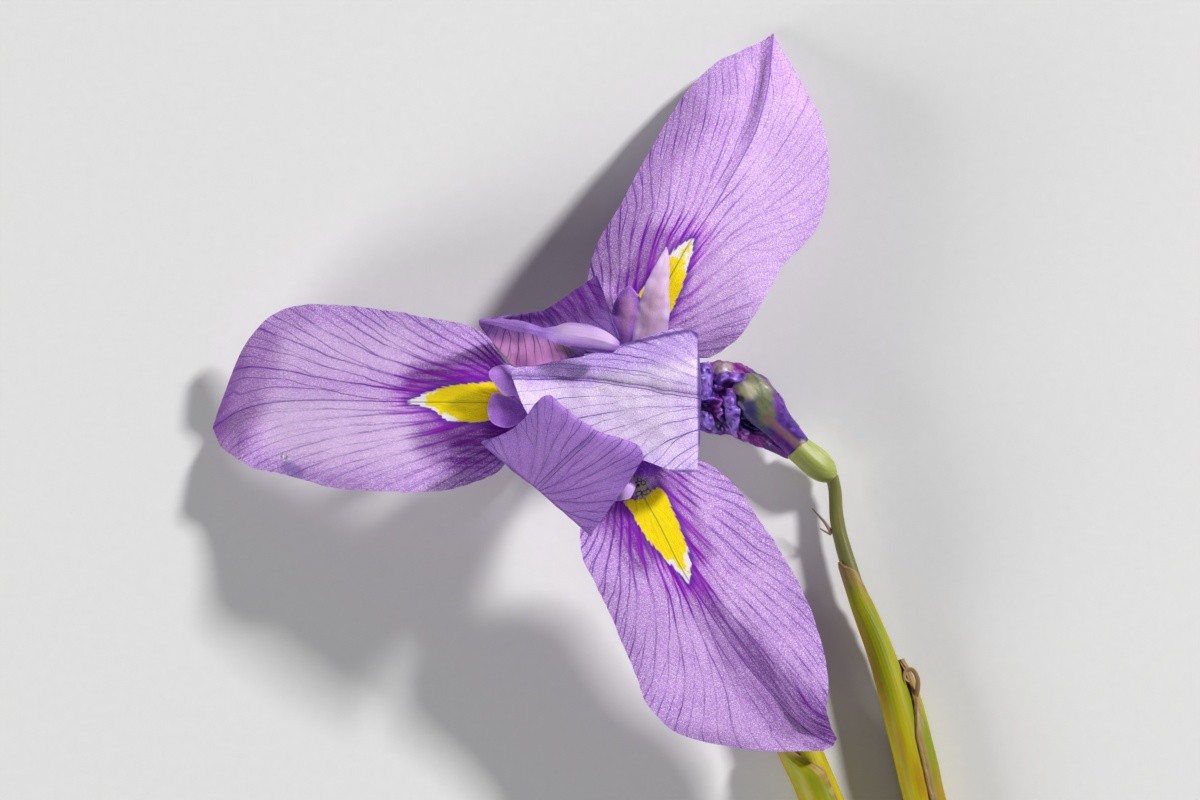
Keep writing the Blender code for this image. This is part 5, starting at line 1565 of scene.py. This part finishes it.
def bract_skin():
    """Leafy bract: satin, smooth and parallel-veined, yellow shading to green and olive, and dry,
    brown and papery at its margin and tip."""
    made, t = new_material("ripening bract")
    blade = add(t, "UVMap", uv_map="blade")
    share = add(t, "Attribute", attribute_name="share").outputs["Fac"]
    edge = add(t, "Attribute", attribute_name="edge").outputs["Fac"]
    # Ripe yellow lies in broad soft patches, 3 mm wide and 20 mm long, over the green.
    broad = patches(t, blade, (0.3, 0.045), 2.0, (0.38, 0.62, 0.0, 1.0), smooth=True)
    tone = add(t, "Mix", (broad, linear("#BAA802"), linear("#7A8604")), data_type="RGBA")
    # Amber lies in patches 2 mm wide and 13 mm long.
    amber = patches(t, blade, (0.52, 0.078), 2.0, (0.46, 0.62, 0.0, 0.85), smooth=True)
    tone = add(t, "Mix", (amber, tone, linear("#A27A04")), data_type="RGBA")
    # Fibres a quarter of a millimetre wide and 10 mm long.
    fibres = add(t, "VectorMath", (blade, (4.0, 0.1, 1.0)), operation="MULTIPLY")
    fibres = add(t, "TexNoise", {"Vector": fibres, "Scale": 1.0, "Detail": 3.0})
    dark = add(t, "MapRange", (fibres, 0.5, 0.7, 0.0, 0.25))
    tone = add(t, "Mix", (dark, tone, linear("#6B6A10")), data_type="RGBA")
    dry = add(t, "MapRange", (share, 0.84, 0.97, 0.0, 1.0), interpolation_type="SMOOTHSTEP")
    ragged = add(t, "Math", (fibres, -0.8, edge), operation="MULTIPLY_ADD")
    rim = add(t, "MapRange", (ragged, -0.3, 0.5, 1.0, 0.0), interpolation_type="SMOOTHSTEP")
    dry = add(t, "Math", (dry, rim), operation="MAXIMUM")
    paper = add(t, "Mix", (fibres, linear("#AC8C5C"), linear("#725638")), data_type="RGBA")
    tone = add(t, "Mix", (dry, tone, paper), data_type="RGBA")
    bump = add(t, "Bump", {"Height": fibres, "Strength": 0.35, "Distance": 0.00006})
    sockets = {"Roughness": 0.45, "IOR": 1.42, "Specular IOR Level": 0.28}
    return finish_skin(made, tone, bump, sockets, thin=0.12)


def spent_skin():
    """Collapsed petals: damp, satin and deep violet, with painted lilac highlights on the crests of
    their creases and painted shade between them, and the greenish cream skin of a claw, with a painted
    highlight, showing on the knuckle."""
    made, t = new_material("damp withered petal")
    spot = add(t, "TexCoord").outputs["Object"]
    blade = add(t, "UVMap", uv_map="blade")
    relief = add(t, "Attribute", attribute_name="relief").outputs["Fac"]
    creased = add(t, "Attribute", attribute_name="creased").outputs["Fac"]
    frill = add(t, "Attribute", attribute_name="frill").outputs["Fac"]
    # Small folds 1.1 mm wide, painted darker where they sink as painted shade, and magenta patches of 4
    # mm.
    folds = add(t, "TexNoise", {"Vector": spot, "Scale": 900.0, "Detail": 3.0, "Distortion": 1.2})
    depth = add(t, "MapRange", (folds, 0.36, 0.66, 0.0, 1.0))
    tone = add(t, "Mix", (depth, linear("#2C0A50"), linear("#562496")), data_type="RGBA")
    glow = patches(t, spot, 260.0, 3.0, (0.5, 0.68, 0.0, 0.6))
    tone = add(t, "Mix", (glow, tone, linear("#7C1C86")), data_type="RGBA")
    # Painted light and shade: the crests of the creases are painted as lilac highlights, and painted
    # shade makes the tissue darkest between them.
    crease_highlight = add(t, "MapRange", (relief, 1.02, 1.14, 0.0, 0.9), interpolation_type="SMOOTHSTEP")
    crease_highlight = add(t, "Math", (crease_highlight, creased), operation="MULTIPLY")
    tone = add(t, "Mix", (crease_highlight, tone, linear("#8E70D8")), data_type="RGBA")
    crease_shade = add(t, "MapRange", (relief, 0.86, 0.98, 0.6, 0.0), interpolation_type="SMOOTHSTEP")
    crease_shade = add(t, "Math", (crease_shade, creased), operation="MULTIPLY")
    tone = add(t, "Mix", (crease_shade, tone, linear("#260A4A")), data_type="RGBA")
    lilac = add(t, "Mix", (depth, linear("#50208E"), linear("#A47EDC")), data_type="RGBA")
    tone = add(t, "Mix", (frill, tone, lilac), data_type="RGBA")
    # Streaks 1.1 mm wide and 5 mm long on the skin of the claw.
    streaks = patches(t, blade, (0.9, 0.2), 2.0, (0.34, 0.66, 0.0, 1.0))
    cream = add(t, "Mix", (streaks, linear("#C8C4A8"), linear("#9C9C64")), data_type="RGBA")
    olive = add(t, "Mix", (streaks, linear("#828C42"), linear("#58632E")), data_type="RGBA")
    # The cream mark is partly a painted highlight, and the dark dent mark is painted shade.
    for kind, colour in (
        ("rosy", linear("#8A2A84")),
        ("slate", linear("#363A66")),
        ("olive", olive),
        ("cream", cream),
        ("rib", linear("#7C5A5C")),
        ("dent_shade", linear("#160628")),
    ):
        mark = add(t, "Attribute", attribute_name=kind).outputs["Fac"]
        tone = add(t, "Mix", (mark, tone, colour), data_type="RGBA")
    bump = add(t, "Bump", {"Height": folds, "Strength": 0.35, "Distance": 0.0002})
    sockets = {"Roughness": 0.44, "IOR": 1.42, "Coat Weight": 0.12, "Coat Roughness": 0.3}
    return finish_skin(made, tone, bump, sockets)


def build_rest():
    """All but the tepals of the open bloom."""
    build_style(style_skin())
    build_stamens(pollen_skin())
    waxy = ovary_skin()
    build_ovary("ovary_and_stalk_open", OPEN_OVARY_FOOT, OPEN_OVARY_TOP, OPEN_NECK_RADIUS, 0.0,
                OPEN_PEDICEL, waxy, "ovary_open")
    build_ovary("ovary_and_stalk_spent", SPENT_OVARY_FOOT, SPENT_OVARY_TOP, SPENT_NECK_RADIUS, 0.35,
                SPENT_PEDICEL, waxy, "ovary_spent")
    build_stem(stem_skin())
    leafy = bract_skin()
    build_bract("sheath_open_outer", OPEN_SHOOT, (0.02, 0.42), OUTER_BRACT_RADII, OPEN_OUTER_TURNS,
                BROAD_POINT, 0.7, 0.4, leafy, "bract_open_outer")
    build_bract("sheath_open_inner", OPEN_SHOOT, (0.06, 0.66), INNER_BRACT_RADII, OPEN_INNER_TURNS,
                BROAD_POINT, 0.4, 0.0, leafy, "bract_open_inner")
    build_bract("sheath_spent_outer", SPENT_SHOOT, (0.02, 0.5), OUTER_BRACT_RADII, SPENT_OUTER_TURNS,
                BROAD_POINT, 1.3, 0.5, leafy, "bract_spent_outer", CURL)
    build_bract("sheath_spent_inner", SPENT_SHOOT, (0.06, 0.73), SPENT_INNER_RADII, SPENT_INNER_TURNS,
                SLIM_POINT, 0.25, 0.0, leafy, "bract_spent_inner")
    build_spent(spent_skin())


def studio():
    """Paper floor, lamps, dim surroundings and the camera."""
    deselect()
    bpy.ops.mesh.primitive_plane_add(size=4)
    floor = bpy.context.object
    floor.name = "floor"
    made, t = new_material("matte studio paper")
    spot = add(t, "TexCoord").outputs["Object"]
    # Paper grain 1.1 mm wide.
    grain = add(t, "TexNoise", {"Vector": spot, "Scale": 900.0, "Detail": 3.0})
    tone = add(t, "Mix", (grain, linear("#D3D2D1"), linear("#D9D8D7")), data_type="RGBA")
    shader = add(t, "BsdfPrincipled", {"Base Color": tone, "Roughness": 0.9})
    add(t, "OutputMaterial", {"Surface": shader})
    floor.data.materials.append(made)
    floor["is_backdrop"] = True

    # Key from the upper right, as the shadows on the petals show, a low fill from the lower left,
    # and a broad soft box overhead.
    for name, place, size, power in (
        ("key", (0.94, 0.763, 0.70), 0.15, 26.5),
        ("fill", (-0.77, -0.54, 0.342), 0.5, 9.0),
        ("overhead", (0.0, 0.0, 1.6), 0.8, 1.4),
    ):
        bpy.ops.object.light_add(type="AREA", location=place)
        lamp = bpy.context.object
        lamp.name = name
        lamp.data.size = size
        lamp.data.energy = power
        lamp.rotation_euler = (-Vector(place)).to_track_quat("-Z", "Y").to_euler()
    world = bpy.data.worlds.new("studio")
    bpy.context.scene.world = world
    world.use_nodes = True
    world.node_tree.nodes["Background"].inputs["Color"].default_value = linear("#DDE2EC")
    world.node_tree.nodes["Background"].inputs["Strength"].default_value = 0.13

    bpy.ops.object.camera_add(location=(0, 0, CAMERA_HEIGHT), rotation=(0, 0, 0))
    camera = bpy.context.object
    camera.data.lens = CAMERA_LENS
    camera.data.sensor_width = CAMERA_SENSOR
    camera.data.clip_end = 10
    bpy.context.scene.camera = camera
    bpy.context.scene.view_settings.view_transform = "Standard"


studio()
build_bloom()
build_rest()

box = {"cad": cad_box, "visual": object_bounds()}
{name: [list(corner) for corner in corners] for name, corners in box.items()}
